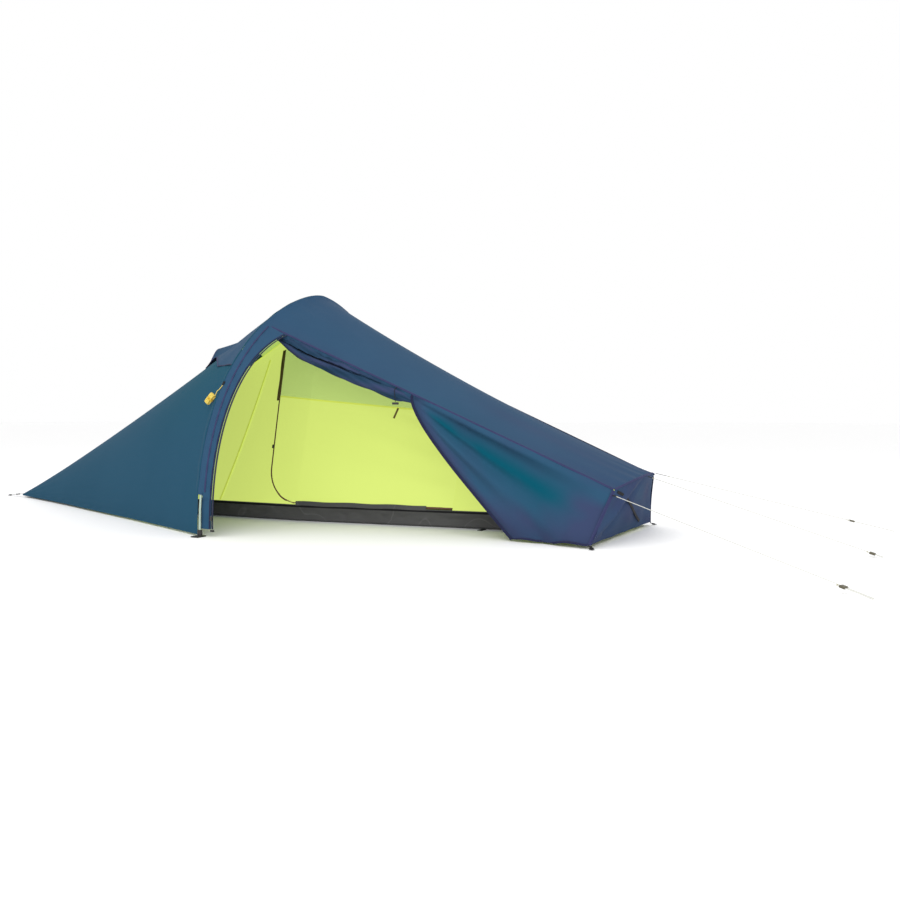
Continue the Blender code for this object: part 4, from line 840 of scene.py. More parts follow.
def build_end_wall():
    up, across = np.meshgrid(np.linspace(0, 1, 41), np.linspace(0, 1, 81), indexing="ij")
    flat = lerp(foot_side_edge(up, -1), foot_side_edge(up, 1), across[..., None])
    top = lerp(foot_side_edge(1, -1), foot_side_edge(1, 1), across[..., None])
    crown = foot_top_edge(across) - top
    grid = flat + crown * up[..., None]
    spread = across - 0.04 + 0.35 * (1 - up)
    fold = np.exp(-((spread - 0.28) / 0.06) ** 2) * 0.011 * np.sin(math.pi * up) ** 0.6
    fold = fold - np.exp(-((spread - 0.41) / 0.05) ** 2) * 0.009 * np.sin(math.pi * up) ** 0.6
    crease = np.exp(-((across - 0.10 - 0.10 * up) / 0.03) ** 2)
    fold = fold + crease * 0.006 * np.sin(math.pi * up) ** 0.6
    ripple = 0.0022 * np.sin(26 * across + 5 * up) * (1 - up) * np.sin(math.pi * across)
    hollow = -0.010 * np.sin(math.pi * across) * np.sin(math.pi * up)
    hollow = hollow * smooth_step(0.55, 0.9, across)
    shift = fold + ripple + hollow + 0.0015 * noise(across * 7, up * 3, 8)
    grid = grid + np.array([1.0, 0.0, 0.0]) * (shift + 0.0010)[..., None]
    grid[..., 1] -= END_HOLLOW * np.sin(math.pi * up) * smooth_step(0.80, 1.0, across)
    violet = 0.65 + 0.35 * noise(across * 5 + 2 * up, up * 3, 17)
    fly_panel("fly_end_cloth", grid, "fly_end_wall", violet=np.clip(violet, 0, 1),
          rests_on=["fly_roof_cloth"])


def sleeve_cover(share):
    """1 where the sleeve wraps the pole and 0 where the pole is bare, near its feet."""
    side = np.minimum(share, 1 - share)
    return smooth_step(SLEEVE_SHARE - 0.002, SLEEVE_SHARE + 0.008, side)


def head_shares():
    side = np.linspace(share_at_height(HEAD_HEM_HEIGHT), 0.5 - VENT_SHARE, 45)
    middle = np.linspace(0.5 - VENT_SHARE, 0.5 + VENT_SHARE, 25)
    return np.concatenate([side[:-1], middle, 1 - side[::-1][1:]])


def head_wrinkles(share, reach):
    """Outward moves of the cone's cloth: level ripples low down, and a fan from the peg."""
    side = np.minimum(share, 1 - share)
    low = smooth_step(0.16, 0.02, side) * np.sin(math.pi * reach) ** 0.6
    level = np.sin(230 * side + 2.5 * noise(share * 8, reach * 4, 11)) * low
    fan = np.sin(75 * share) * np.exp(-reach / 0.10) * reach / 0.10
    hoop = np.sin(150 * share + 4 * noise(share * 9, reach * 2, 4)) * np.exp(-(1 - reach) / 0.05)
    broad = noise(share * 9, reach * 4, 6) * np.sin(math.pi * reach)
    return 0.0014 * level + 0.0022 * fan + 0.0008 * hoop + 0.0022 * broad


def build_head():
    shares = head_shares()
    vent = [1 - r / HEAD_LENGTH for r in reversed(VENT_REACH)]
    cols = np.concatenate([np.linspace(HEAD_TIP_SHARE, vent[0], 49)[:-1],
                           np.linspace(vent[0], vent[1], 13)[:-1],
                           np.linspace(vent[1], 1, 22)])
    share, reach = np.meshgrid(shares, cols, indexing="ij")
    grid = head_point(share, reach)
    cover = sleeve_cover(share)
    rise = onto_sleeve(-grid[..., 0]) * cover
    grid = grid + hoop_normal(share) * (head_wrinkles(share, reach) + rise)[..., None]
    edge = []
    for step in (1, 2, 3):
        x = PANEL_START + (SLEEVE_CREST - PANEL_START) * step / 3 * cover[:, -1] - 0.0002 * step
        lift = PANEL_OFFSET + onto_sleeve(x) * cover[:, -1]
        place = hoop_point(shares) + hoop_normal(shares) * lift[:, None]
        edge.append(place - np.stack([x, 0 * x, 0 * x], axis=-1))
    grid = np.concatenate([grid, np.stack(edge, axis=1)], axis=1)
    share = np.concatenate([share, share[:, -3:]], axis=1)
    reach = np.concatenate([reach, reach[:, -1:], reach[:, -1:], reach[:, -1:]], axis=1)
    grid[..., 2] = np.maximum(grid[..., 2], 0.0066)
    # painted light: glow where light shows through the cone, most on its near side towards the
    # hoop; shade below is a painted shadow under the vent hood
    high = smooth_step(0.10, 0.36, share) * smooth_step(0.55, 0.92, reach)
    glow = 0.45 * smooth_step(0.62, 0.5, share) + 0.50 * high * smooth_step(0.62, 0.5, share)
    patches = np.clip(noise(share * 4, reach * 3, 14), 0, 1)
    glow = glow + 0.25 * patches * smooth_step(0.2, 0.8, reach)
    shade = 0.55 * smooth_step(0.10, 0.0, np.abs(reach - 0.74))
    shade = shade * smooth_step(0.07, 0.02, np.abs(share - 0.43))
    fly_panel("fly_head_cloth", grid, "fly_head", glow=np.clip(glow, 0, 1),
          shade=shade, hole=lambda i, j: 44 <= i < 68 and 48 <= j < 60,
          rests_on=["pole_sleeve", "head_strap"])
    rows = shares[44:69]
    share, reach = np.meshgrid(rows, cols[48:61], indexing="ij")
    grid = head_point(share, reach)
    panel("vent_net", grid, "net", TENT, "inner_mesh", ["vent_mesh"], rests_on=["fly_head_cloth"])


def build_hood():
    across, down = np.meshgrid(np.linspace(-1, 1, 101), np.linspace(0, 1, 41), indexing="ij")
    grid = hood_point(across, down)
    out = grid_normals(grid)
    out = out * np.sign(out[50, 20, 2])
    ripple = np.sin(24 * across + 6 * down) * down * (1 - down) * 4
    grid = grid + out * (0.0016 * ripple + 0.0015 * noise(across * 5, down * 3, 21))[..., None]
    # painted shade along the hood's lip
    shade = 0.20 * smooth_step(0.9, 1.0, down)
    fly_panel("vent_hood_cloth", grid, "vent_hood", shade=shade,
          rests_on=["pole_sleeve", "vent_stay"])
    for tag, line in (("lip", grid[:, -1]), ("near", grid[0, :]), ("far", grid[-1, :])):
        line = resample(line, 90)
        up = np.array([[-0.3, 0.0, 0.95]] * len(line)) if tag == "lip" else np.array(
            [hoop_normal(HOOD_SHARE if tag == "near" else 1 - HOOD_SHARE)] * len(line))
        kind = "seam" if tag == "lip" else "binding"
        strip(f"hood_binding_{tag}", line, up, 0.008 if tag == "lip" else 0.006, 0.0016, kind)


def band_edge(share):
    return BAND_WIDTH_LOW + (BAND_WIDTH_TOP - BAND_WIDTH_LOW) * share**6


def build_band():
    """Strip between the sleeve and the door's zip, with a binding along its zip edge and a seam by
    the sleeve.
    """
    span = SEAM_SHARE - HEM_SHARE
    sleeve = (SLEEVE_SHARE - HEM_SHARE) / span
    step = 0.007 / (span * HOOP_RUN)
    share, part = np.meshgrid(np.linspace(0, 1, 121), np.linspace(0, 1, 19), indexing="ij")
    below = smooth_step(sleeve - 1.2 * step, sleeve - 2.8 * step, share)
    bare = smooth_step(sleeve, sleeve - 1.2 * step, share)
    x0 = SLEEVE_CREST + (PANEL_START - SLEEVE_CREST) * bare
    x0 = x0 - (2 * PANEL_START - 0.001) * below
    x = x0 + (band_edge(share) - x0) * part
    grid = side_at_x(share, x)
    drop = -(BEHIND_POLE + PANEL_OFFSET) * below * (1 - part) ** 2
    out = side_normal(share)
    ripple = 0.0010 * np.sin(90 * share + 3 * part) * part * (1 - part) * 4
    roll = 0.0015 * np.sin(math.pi * part) * (1 - below)
    roll = roll + onto_sleeve(x) * sleeve_cover(HEM_SHARE + span * share)
    grid = grid + out * (drop + ripple + roll)[..., None]
    # painted light: glow low on the band, rising towards its zip edge
    fly_panel("door_band_cloth", grid, "door_edge_band",
          glow=0.25 * smooth_step(0.4, 0.0, share) * part, rests_on=["pole_sleeve"])
    stops = np.linspace(0.0, 0.992, 140)
    edge = side_at_x(stops, band_edge(stops) - 0.0045)
    strip("door_band_seam", edge + side_normal(stops) * 0.0012, side_normal(stops), 0.007, 0.0012,
          "binding")
    stops = stops[stops > sleeve + step]
    lean = unit(side_normal(stops) + np.array([0.25, 0.0, 0.0]))
    line = side_at_x(stops, np.full(len(stops), 0.020)) + side_normal(stops) * onto_sleeve(0.020)
    strip("sleeve_seam_near", line + lean * 0.0024, lean, 0.006, 0.0012, "seam")


TOOTH = ((-1, 0), (1, 0), (1, 0.5), (0.5, 0.85), (-0.5, 0.85), (-1, 0.5))


def coil(name, points, normals, width, height, material, body, nodes, tape_material):
    """A coil zip: flat tape with a ridge of teeth along its middle."""
    tape_line = resample(points, max(40, len(points)))
    stops = np.linspace(0, 1, len(points))

    def turn(k):
        return unit(np.stack([np.interp(k, stops, np.asarray(normals)[:, i])
                     for i in range(3)], -1))

    strip(name + "_tape", tape_line, turn(np.linspace(0, 1, len(tape_line))), width, 0.0008,
          tape_material, body, nodes, crown=0.0)
    length = np.sum(np.linalg.norm(np.diff(points, axis=0), axis=1))
    count = int(length / 0.0011)
    line = resample(points, count)
    faces = turn(np.linspace(0, 1, count))
    tangents = unit(np.gradient(line, axis=0))
    rings = []
    for k, (p, n, t) in enumerate(zip(line, faces, tangents)):
        side = np.cross(n, t)
        tooth = (0.62, 0.62, 1.0, 1.0)[k % 4]
        lean = (-0.1, 0.1)[(k // 4) % 2]
        rings.append([p + side * (s * width * 0.24 * tooth + lean * 0.001)
                      + n * (0.0004 + h * height * tooth) for s, h in TOOTH])
    sweep(name + "_teeth", rings, material, body)


def build_fly_zip():
    stops = np.linspace(0.0, 0.994, 160)
    x = band_edge(stops) + CHAIN_WIDTH / 2 + 0.0012
    coil("fly_zip", side_at_x(stops, x), side_normal(stops), CHAIN_WIDTH, 0.0011, "fly_zip", TENT,
         ["fly_zip_chain"], "binding")


def build_door_panel():
    """The free part of the door: hangs from the roof seam, with folds that fan from its corner."""
    top_drop = 3 * 0.0012
    corner = np.array([HEM_CORNER[0], HEM_CORNER[1], HEM_HEIGHT * 0.5])
    foot = foot_side_edge(0, -1) - np.array([0.001, 0.0, 0.004])
    x_end = foot_side_edge(1, -1)[0] - 0.001
    c, r = np.meshgrid(np.linspace(0, 1, 111), np.linspace(0, 1, 91), indexing="ij")
    x = DOOR_FREE_START + (x_end - DOOR_FREE_START) * c
    head = side_at_x(np.full(c.shape, 1 - top_drop), x)
    grid = lerp(head, lerp(corner, foot, c[..., None]), r[..., None])
    swell = DOOR_SWELL * np.sin(math.pi * r**0.55) * (1 - c) ** 1.5
    grid = grid + swell[..., None] * np.array([-0.85, -0.10, -0.50])
    fold = 0.011 * np.sin(9.5 * c + 0.6) * r**1.4 * np.sin(math.pi * c)
    belly = 0.022 * np.sin(math.pi * r) * np.sin(math.pi * c)
    angle = np.arctan2(r, c + 0.03) / (math.pi / 2)
    reach = np.sqrt(c**2 + r**2)
    fan = np.sin(21 * angle + 0.8) * np.exp(-((reach - 0.45) / 0.38) ** 2) * smooth_step(0, 0.12, c)
    shelf = np.exp(-((angle - 0.12) / 0.05) ** 2) * smooth_step(0.05, 0.3, c)
    shelf = shelf * smooth_step(1.0, 0.6, c)
    pull = np.sin(34 * c + 7 * r) * smooth_step(0.60, 0.88, c) * r * (1 - 0.4 * r)
    foot_fan = 0.0035 * pull + 0.003 * np.sin(18 * c - 2) * r**2 * smooth_step(0.1, 0.4, c)
    out = 0.0075 * fan - 0.010 * shelf + foot_fan + 0.0020 * noise(c * 9, r * 6, 31)
    grid[..., 1] -= fold + belly + out
    wave = 0.007 * np.sin(9.5 * c + 0.5) * smooth_step(0.85, 1.0, r) * np.sin(math.pi * c)
    grid[..., 2] = np.maximum(grid[..., 2] + wave, HEM_HEIGHT * 0.42)
    # painted light: glow along a band through the fold fan, where light shows through the door
    glow = np.exp(-((angle - 0.33) / 0.20) ** 2) * smooth_step(0.01, 0.16, c)
    glow = glow * smooth_step(1.0, 0.60, c)
    glow = 0.90 * glow * (0.85 + 0.15 * np.sin(21 * angle + 0.8)) * smooth_step(0.01, 0.08, r)
    glow = 0.10 + glow
    # painted shade: darker in the shelf fold, along the free edge and near the hem
    dark = np.exp(-((angle - 0.13) / 0.05) ** 2) * smooth_step(1.0, 0.5, c)
    shade = 0.35 * dark + 0.25 * smooth_step(0.06, 0.0, c) + 0.12 * smooth_step(0.75, 1.0, r)
    foot_end = smooth_step(0.55, 0.95, c)
    violet = 0.75 * smooth_step(0.45, 0.95, r) + 0.8 * foot_end * smooth_step(0.1, 0.5, r)
    violet = violet + 0.7 * smooth_step(0.14, 0.02, c) + 0.3 * noise(c * 8, r * 5, 33)
    fly_panel("fly_door_cloth", grid, "fly_door_panel",
          glow=np.clip(glow, 0, 1), shade=shade, violet=np.clip(violet, 0, 0.9), held="hung",
          rests_on=["fly_roof_cloth"])
    free = resample(grid[0], 120)
    tangents = unit(np.gradient(free, axis=0))
    face = unit(np.cross(tangents, np.array([0.3, 0.9, 0.1])) * -1)
    out_dir = np.cross(tangents, face)
    out_dir = out_dir * np.sign(-out_dir[:, 1:2])
    strip("door_free_edge", free + out_dir * 0.001, out_dir, 0.013, 0.0018, "binding")
    hem = resample(grid[:, -1], 120)
    strip("door_hem", hem + np.array([0, -0.0012, 0.004]),
          np.tile([0.0, -1.0, 0.1], (120, 1)), 0.008,
          0.0012, "binding")


def build_roof_seams():
    """Felled seams from the hoop along both sides of the roof, and round the end wall's edges."""
    for tag, side in (("near", -1), ("far", 1)):
        x = np.linspace(PANEL_START, foot_side_edge(1, side)[0] - 0.002, 160)
        line = side_at_x(np.full(160, 1.0), x, side)
        normals = side_normal(np.full(160, 0.98)) * np.array([1, -side, 1])
        strip(f"roof_seam_{tag}", line + normals * 0.0014, normals, 0.0085, 0.0014, "seam")
        corner = foot_side_edge(np.linspace(0, 0.985, 50), side)
        corner = corner + np.array([0.0002, 0.0022 * side, 0])
        if side > 0:
            corner[:, 1] -= END_HOLLOW * np.sin(math.pi * np.linspace(0, 0.985, 50))
        strip(f"end_seam_{tag}", corner, np.tile([0.62, 0.78 * side, 0.0], (50, 1)), 0.013, 0.0016,
              "seam")
    edge = foot_top_edge(np.linspace(0, 1, 70)) + np.array([0.0010, 0.0, 0.0008])
    strip("end_seam_top", edge, np.tile([0.55, 0.0, 0.83], (70, 1)), 0.008, 0.0016, "seam")


def roll_line(k):
    """Middle of the rolled door under the roof seam; it sags a little between its ends."""
    x = ROLL_START + (ROLL_END - ROLL_START) * k
    radius = ROLL_RADIUS_START + (ROLL_RADIUS_END - ROLL_RADIUS_START) * np.clip(k, 0, 1) ** 0.8
    sag = 0.010 * np.sin(math.pi * np.clip(k, 0, 1)) ** 0.7
    sag = sag + 0.004 * np.exp(-((k - 0.2) / 0.12) ** 2)
    place = side_at_x(np.full(k.shape, 1.0), x)
    return place + np.stack([0 * k, 0.010 + 0 * k, -radius - sag], axis=-1), radius * 1.12


def build_roll():
    """The rolled-up part of the door: a loose spiral of cloth with lengthwise folds."""
    k = np.linspace(-0.16, 1.10, 156)
    place, radius = roll_line(k)
    ends = smooth_step(-0.17, 0.10, k) * (1 - 0.80 * smooth_step(0.90, 1.10, k))
    sides = 64
    turns = np.linspace(0, 2 * math.pi, sides, endpoint=False)
    rings, shade, violet = [], [], []
    radii = radius * (0.25 + 0.75 * ends)
    for t, (_, across, up), p, r in zip(k, frames(place), place, radii):
        phase = turns + 1.1 * t
        wound = phase % (2 * math.pi)
        lip = smooth_step(0.0, 0.35, wound) * (1 - 0.16 * wound / 6.283)
        lump = noise(phase * 1.3, t * 9 + 0 * phase, 41) * 0.10
        ridge = 0.085 * np.sin(3 * turns + 9 * t + 2 * noise(t * 6, 0.5, 5))
        fine = 0.035 * np.sin(7 * turns - 21 * t)
        rr = r * (0.98 * lip + lump + ridge + fine)
        rings.append([p + a * (math.cos(w) * across + math.sin(w) * up) for a, w in zip(rr, turns)])
        # painted shade in the hollows between folds and where the cloth winds in; violet is a
        # painted highlight along the ridges
        shade.append(np.clip(0.30 - 2.6 * ridge - 3 * fine + 0.4 * (lip < 0.6), 0, 0.8))
        violet.append(np.clip(0.45 + 5 * ridge + 4 * fine, 0, 1))
    sweep("fly_door_roll_cloth", rings, "fly", TENT, ["fly_door_roll"],
          attributes={"shade": np.concatenate(shade), "violet": np.concatenate(violet)})
    x = np.linspace(0.085, DOOR_FREE_START + 0.010, 120)
    middle, _ = roll_line((x - ROLL_START) / (ROLL_END - ROLL_START))
    top = side_at_x(np.full(120, 0.998), x) + np.array([0.0, 0.0, -0.0005])
    down = np.linspace(0, 1, 9)[:, None, None]
    toward = lerp(top, middle, 0.75)
    low = np.stack([top[:, 0], toward[:, 1] - 0.010, toward[:, 2]], -1)
    grid = top[None] * (1 - down) + low[None] * down
    pleat = 0.0022 * np.sin(95 * x + 3 * noise(x * 9, 0 * x, 44))[None, :]
    pleat = pleat * np.sin(math.pi * down[..., 0] / 1.4)
    grid[..., 1] -= pleat
    # painted shade, deepening down from the roof seam towards the roll
    panel("fly_door_flange", grid, "fly", TENT, "fly_cloth", shade=0.15 + 0.25 * down[..., 0],
          held="gathered", rests_on=["fly_roof_cloth", "fly_door_roll_cloth"])


def build_sleeve():
    """Pole sleeve: a soft tube with slight gathers, and hemmed ends."""
    stops = np.linspace(SLEEVE_SHARE, 1 - SLEEVE_SHARE, 220)
    turns = np.linspace(0, 2 * math.pi, 20, endpoint=False)
    outer, inner = [], []
    for n, s in enumerate(stops):
        centre = hoop_point(s, -SLEEVE_RADIUS)
        out = hoop_normal(s)
        end = min(n, len(stops) - 1 - n)
        hem = 0.0006 if end < 3 else 0.0
        gather = 0.0005 * noise(s * 60 + 0 * turns, np.sin(turns) * 1.5, 51)
        for store, base in ((outer, SLEEVE_RADIUS - 0.0002 + hem), (inner, SLEEVE_RADIUS - 0.0016)):
            radius = base + gather
            store.append([centre + r * (math.cos(w) * out + math.sin(w) * np.array([1.0, 0, 0]))
                          for r, w in zip(radius, turns)])
    rings = outer + inner[::-1]
    sweep("pole_sleeve_cloth", rings, "fly", TENT, ["pole_sleeve"], caps=False)
    mesh = bpy.data.objects["pole_sleeve_cloth"].data
    bm = bmesh.new()
    bm.from_mesh(mesh)
    bm.verts.ensure_lookup_table()
    last = (len(rings) - 1) * 20
    for i in range(20):
        j = (i + 1) % 20
        bm.faces.new([bm.verts[n] for n in (last + i, last + j, j, i)])
    bmesh.ops.recalc_face_normals(bm, faces=bm.faces)
    bm.to_mesh(mesh)
    bm.free()


# ---------------------------------------------------------------- inner tent
def inner_move(x, share, seed):
    """Outward moves of the inner's cloth: soft level tension folds and slight unevenness."""
    level = np.sin(34 * share + 3 * x + 2 * noise(x * 3, share * 2, seed)) * 0.0034
    level = level * smooth_step(-0.4, 0.9, x) * np.sin(math.pi * np.clip(share, 0, 1))
    belly = 0.004 * np.sin(math.pi * np.clip(share, 0, 1))
    return level - belly + 0.0020 * noise(x * 7, share * 6, seed + 1)


def wall_grid(x, share, seed):
    grid = near_wall(x, share)
    out = wall_out(x, share * wall_run(x))
    rim = smooth_step(0.0, 0.06, share) * smooth_step(DOOR_TOP_SHARE, DOOR_TOP_SHARE - 0.06, share)
    return grid + out * (inner_move(x, share, seed) * rim)[..., None]


def build_inner_walls():
    zip_run = float(wall_run(INNER_ZIP_X))
    top = DOOR_TOP_SHARE * zip_run
    clear = CHAIN_WIDTH / 2 - 0.0008
    rows = np.concatenate([np.linspace(0.001, 0.25, 40)[:-1], np.linspace(0.25, top, 45)])
    grid, glow = [], []
    for v in rows:
        beside_zip = v > ZIP_FOOT + clear
        right = zip_x(v, -clear) if beside_zip else INNER_ZIP_X + DOOR_CORNER_RADIUS
        x = INNER_HEAD_X + 0.002 + (right - INNER_HEAD_X - 0.002) * np.linspace(0, 1, 61)
        line = wall_grid(x, np.full(61, v / zip_run), 61)
        flat = near_wall(x, v / zip_run)
        fade = smooth_step(0.0, 0.05, np.abs(x - right))
        grid.append(lerp(flat, line, fade[:, None]))
        # painted light: patches of glow where light shows through the wall
        glow.append(0.25 * np.clip(noise(x * 3, v * 3 + 0 * x, 62), 0, 1))
    inner_panel("inner_side_head_cloth", grid, "inner_side_head",
          glow=np.array(glow), rests_on=["inner_floor"])
    grid, glow = [], []
    for part in np.linspace(0, 1, 70):
        base = ZIP_FOOT + clear
        v_left = base + (float(mesh_edge(INNER_ZIP_X)) - base) * part
        left = zip_x(v_left, clear)
        x = np.linspace(left, INNER_DOOR_RIGHT, 91)
        height = base + (mesh_edge(x) - base) * part
        share = height / wall_run(x)
        line = wall_grid(x, share, 61)
        fade = smooth_step(0, 0.05, x - left) * smooth_step(0, 0.04, INNER_DOOR_RIGHT - x)
        fade = fade * smooth_step(0, 0.08, part) * smooth_step(1.0, 0.9, part)
        grid.append(lerp(near_wall(x, share), line, fade[:, None]))
        # painted light: glow low on the door, growing away from the zip
        glow.append(0.45 * smooth_step(0.75, 0.1, part) * smooth_step(left, left + 0.4, x))
    inner_panel("inner_door_cloth", grid, "inner_door", LEAF, glow=np.array(glow),
          rests_on=["inner_side_foot_cloth"])
    grid = []
    for part in np.linspace(0, 1, 30):
        v = float(mesh_edge(INNER_ZIP_X)) + (top - float(mesh_edge(INNER_ZIP_X))) * part
        x = np.linspace(zip_x(v, clear), INNER_DOOR_RIGHT, 91)
        low = mesh_edge(x) + 0.0006
        grid.append(near_wall_at(x, low + (DOOR_TOP_SHARE * wall_run(x) - low) * part))
    panel("inner_door_net", grid, "net", LEAF, "inner_mesh", ["inner_door_mesh"],
          rests_on=["inner_door_cloth"])
    left = zip_x(float(mesh_edge(INNER_ZIP_X)), clear)
    x = np.linspace(left + 0.001, INNER_DOOR_RIGHT - 0.001, 120)
    seam = near_wall_at(x, mesh_edge(x))
    strip("inner_net_seam", seam + wall_out(x, mesh_edge(x)) * 0.0008,
          wall_out(x, mesh_edge(x)), 0.008,
          0.0008, "inner_seam", LEAF)
    share, part = np.meshgrid(np.linspace(0.002, DOOR_TOP_SHARE, 41), np.linspace(0, 1, 41),
                              indexing="ij")
    x = INNER_DOOR_RIGHT + (INNER_FOOT_X - 0.002 - INNER_DOOR_RIGHT) * part
    grid = lerp(near_wall(x, share), wall_grid(x, share, 61), smooth_step(0, 0.2, part)[..., None])
    inner_panel("inner_side_foot_cloth", grid, "inner_side_foot",
          rests_on=["inner_floor"])
    share = np.linspace(0.0, DOOR_TOP_SHARE, 60)
    x = np.full(60, INNER_DOOR_RIGHT)
    strip("inner_door_hinge_seam", near_wall(x, share) + wall_out(x, share * wall_run(x)) * 0.0009,
          wall_out(x, share * wall_run(x)), 0.004, 0.0007, "inner", TENT)


def build_inner_seams():
    """Raised seam down the head-side wall, and the seam where the walls meet the floor."""
    k = np.linspace(0, 1, 80)
    x = lerp(SEAM_LOW[0], SEAM_HIGH[0], k)
    share = lerp(SEAM_LOW[1], SEAM_HIGH[1], k)
    out = wall_out(x, share * wall_run(x))
    strip("inner_side_seam", near_wall(x, share) + out * 0.0012,
          out, 0.008, 0.0016, "inner_seam", TENT)
    x = np.linspace(INNER_HEAD_X + 0.004, INNER_FOOT_X - 0.004, 160)
    out = wall_out(x, np.full(160, 0.02))
    strip("inner_floor_seam", near_wall_at(x, np.full(160, 0.0005)) + out * 0.0012,
          out, 0.006, 0.0010,
          "ground", TENT)
    x = np.linspace(0.000, 0.605, 90)
    v = np.full(90, 0.0085) + 0.0012 * np.sin(31 * x)
    out = wall_out(x, v)
    guard = near_wall_at(x, v) + out * (0.0042 + 0.0006 * np.sin(47 * x))[:, None]
    strip("inner_zip_guard", guard, out, 0.019, 0.0010, "ground", TENT)


def build_inner_zip():
    bend = ZIP_FOOT + DOOR_CORNER_RADIUS
    top = DOOR_TOP_SHARE * float(wall_run(INNER_ZIP_X)) - 0.004
    route = [(zip_x(v, 0.0), v) for v in np.linspace(top, bend, 60)]
    for w in range(5, 91, 5):
        a = math.radians(w)
        route.append((INNER_ZIP_X + DOOR_CORNER_RADIUS * (1 - math.cos(a)),
                      bend - DOOR_CORNER_RADIUS * math.sin(a)))
    start = INNER_ZIP_X + DOOR_CORNER_RADIUS
    route += [(x, ZIP_FOOT) for x in np.linspace(start, INNER_DOOR_RIGHT - 0.006, 60)[1:]]
    points = np.array([zip_place(x, v) for x, v in route])
    normals = np.array([wall_out(x, v) for x, v in route])
    coil("inner_zip", points, normals, CHAIN_WIDTH, 0.0016, "zip_coil", TENT,
         ["inner_zip_chain"], "zip_tape")
    line, normals = [], []
    edge = float(mesh_edge(INNER_ZIP_X))
    for v in np.linspace(top - 0.002, edge - 0.012, 50):
        x = zip_x(v, 0.0) - 0.003
        normals.append(wall_out(x, v))
        line.append(zip_place(x, v) + normals[-1] * (0.0045 + 0.0012 * math.sin(40 * v)))
    strip("inner_zip_flap_cloth", line, normals, 0.016, 0.0010, "flap", TENT,
          ["inner_zip_flap"])


def build_inner_far():
    x = np.linspace(INNER_HEAD_X + 0.002, INNER_FOOT_X - 0.002, 121)
    ridge = np.stack([x, along_inner(RIDGE_Y, x), along_inner(RIDGE_Z, x)], axis=-1)
    start = near_wall(x, DOOR_TOP_SHARE + 0.0015)
    shoulder = np.stack([x, along_inner(SHOULDER_Y, x), along_inner(SHOULDER_Z, x)], axis=-1)
    foot = np.stack([x, along_inner(FAR_EDGE_Y, x) - 0.0015, np.full(x.shape, WALL_FOOT)], axis=-1)
    lines = [lerp(start, ridge, k) for k in np.linspace(0, 1, 5)[:-1]]
    lines += [lerp(ridge, shoulder, k) for k in np.linspace(0, 1, 25)[:-1]]
    lines += [lerp(shoulder, foot, k) for k in np.linspace(0, 1, 33)]
    grid = np.stack(lines, axis=1)
    out = grid_normals(grid)
    out = out * np.sign(out[60, 20, 2])
    row = np.linspace(0, 1, grid.shape[1])[None, :] + 0 * x[:, None]
    shift = 0.0025 * noise(x[:, None] * 6 + 0 * row, row * 7, 71)
    shift = shift - 0.004 * np.sin(math.pi * row) ** 2
    ends = np.sin(math.pi * np.linspace(0, 1, 121))[:, None] ** 0.5
    grid = grid + out * (shift * ends * smooth_step(0.12, 0.2, row))[..., None]
    inner_panel("inner_far_cloth", grid, "inner_wall_far",
          rests_on=["inner_hanger_ridge", "inner_hanger_side"])
    strip("inner_ridge_seam", ridge + np.array([0, 0, 0.0012]),
          np.tile([0.0, 0.0, 1.0], (121, 1)), 0.010,
          0.0010, "inner_seam", TENT)
    for name, x, outward in (("head", INNER_HEAD_X, -1), ("foot", INNER_FOOT_X, 1)):
        corners = [np.array([x, float(along_inner(a, x)) + s, float(z)]) for a, s, z in (
            (NEAR_EDGE_Y, 0.0015, WALL_FOOT), (RIDGE_Y, 0, along_inner(RIDGE_Z, x)),
            (FAR_EDGE_Y, -0.0015, WALL_FOOT), (SHOULDER_Y, 0, along_inner(SHOULDER_Z, x)))]
        u, w = np.meshgrid(np.linspace(0, 1, 41), np.linspace(0, 1, 41), indexing="ij")
        near = lerp(corners[0], corners[1], w[..., None])
        far = lerp(corners[2], corners[3], w[..., None])
        grid = lerp(near, far, u[..., None])
        bow = 0.003 * np.sin(math.pi * u) * np.sin(math.pi * w) + 0.001 * noise(u * 4, w * 4, 73)
        grid[..., 0] += outward * (0.0012 + bow)
        inner_panel(f"inner_{name}_cloth", grid, f"inner_{name}_wall",
              rests_on=["inner_floor"])


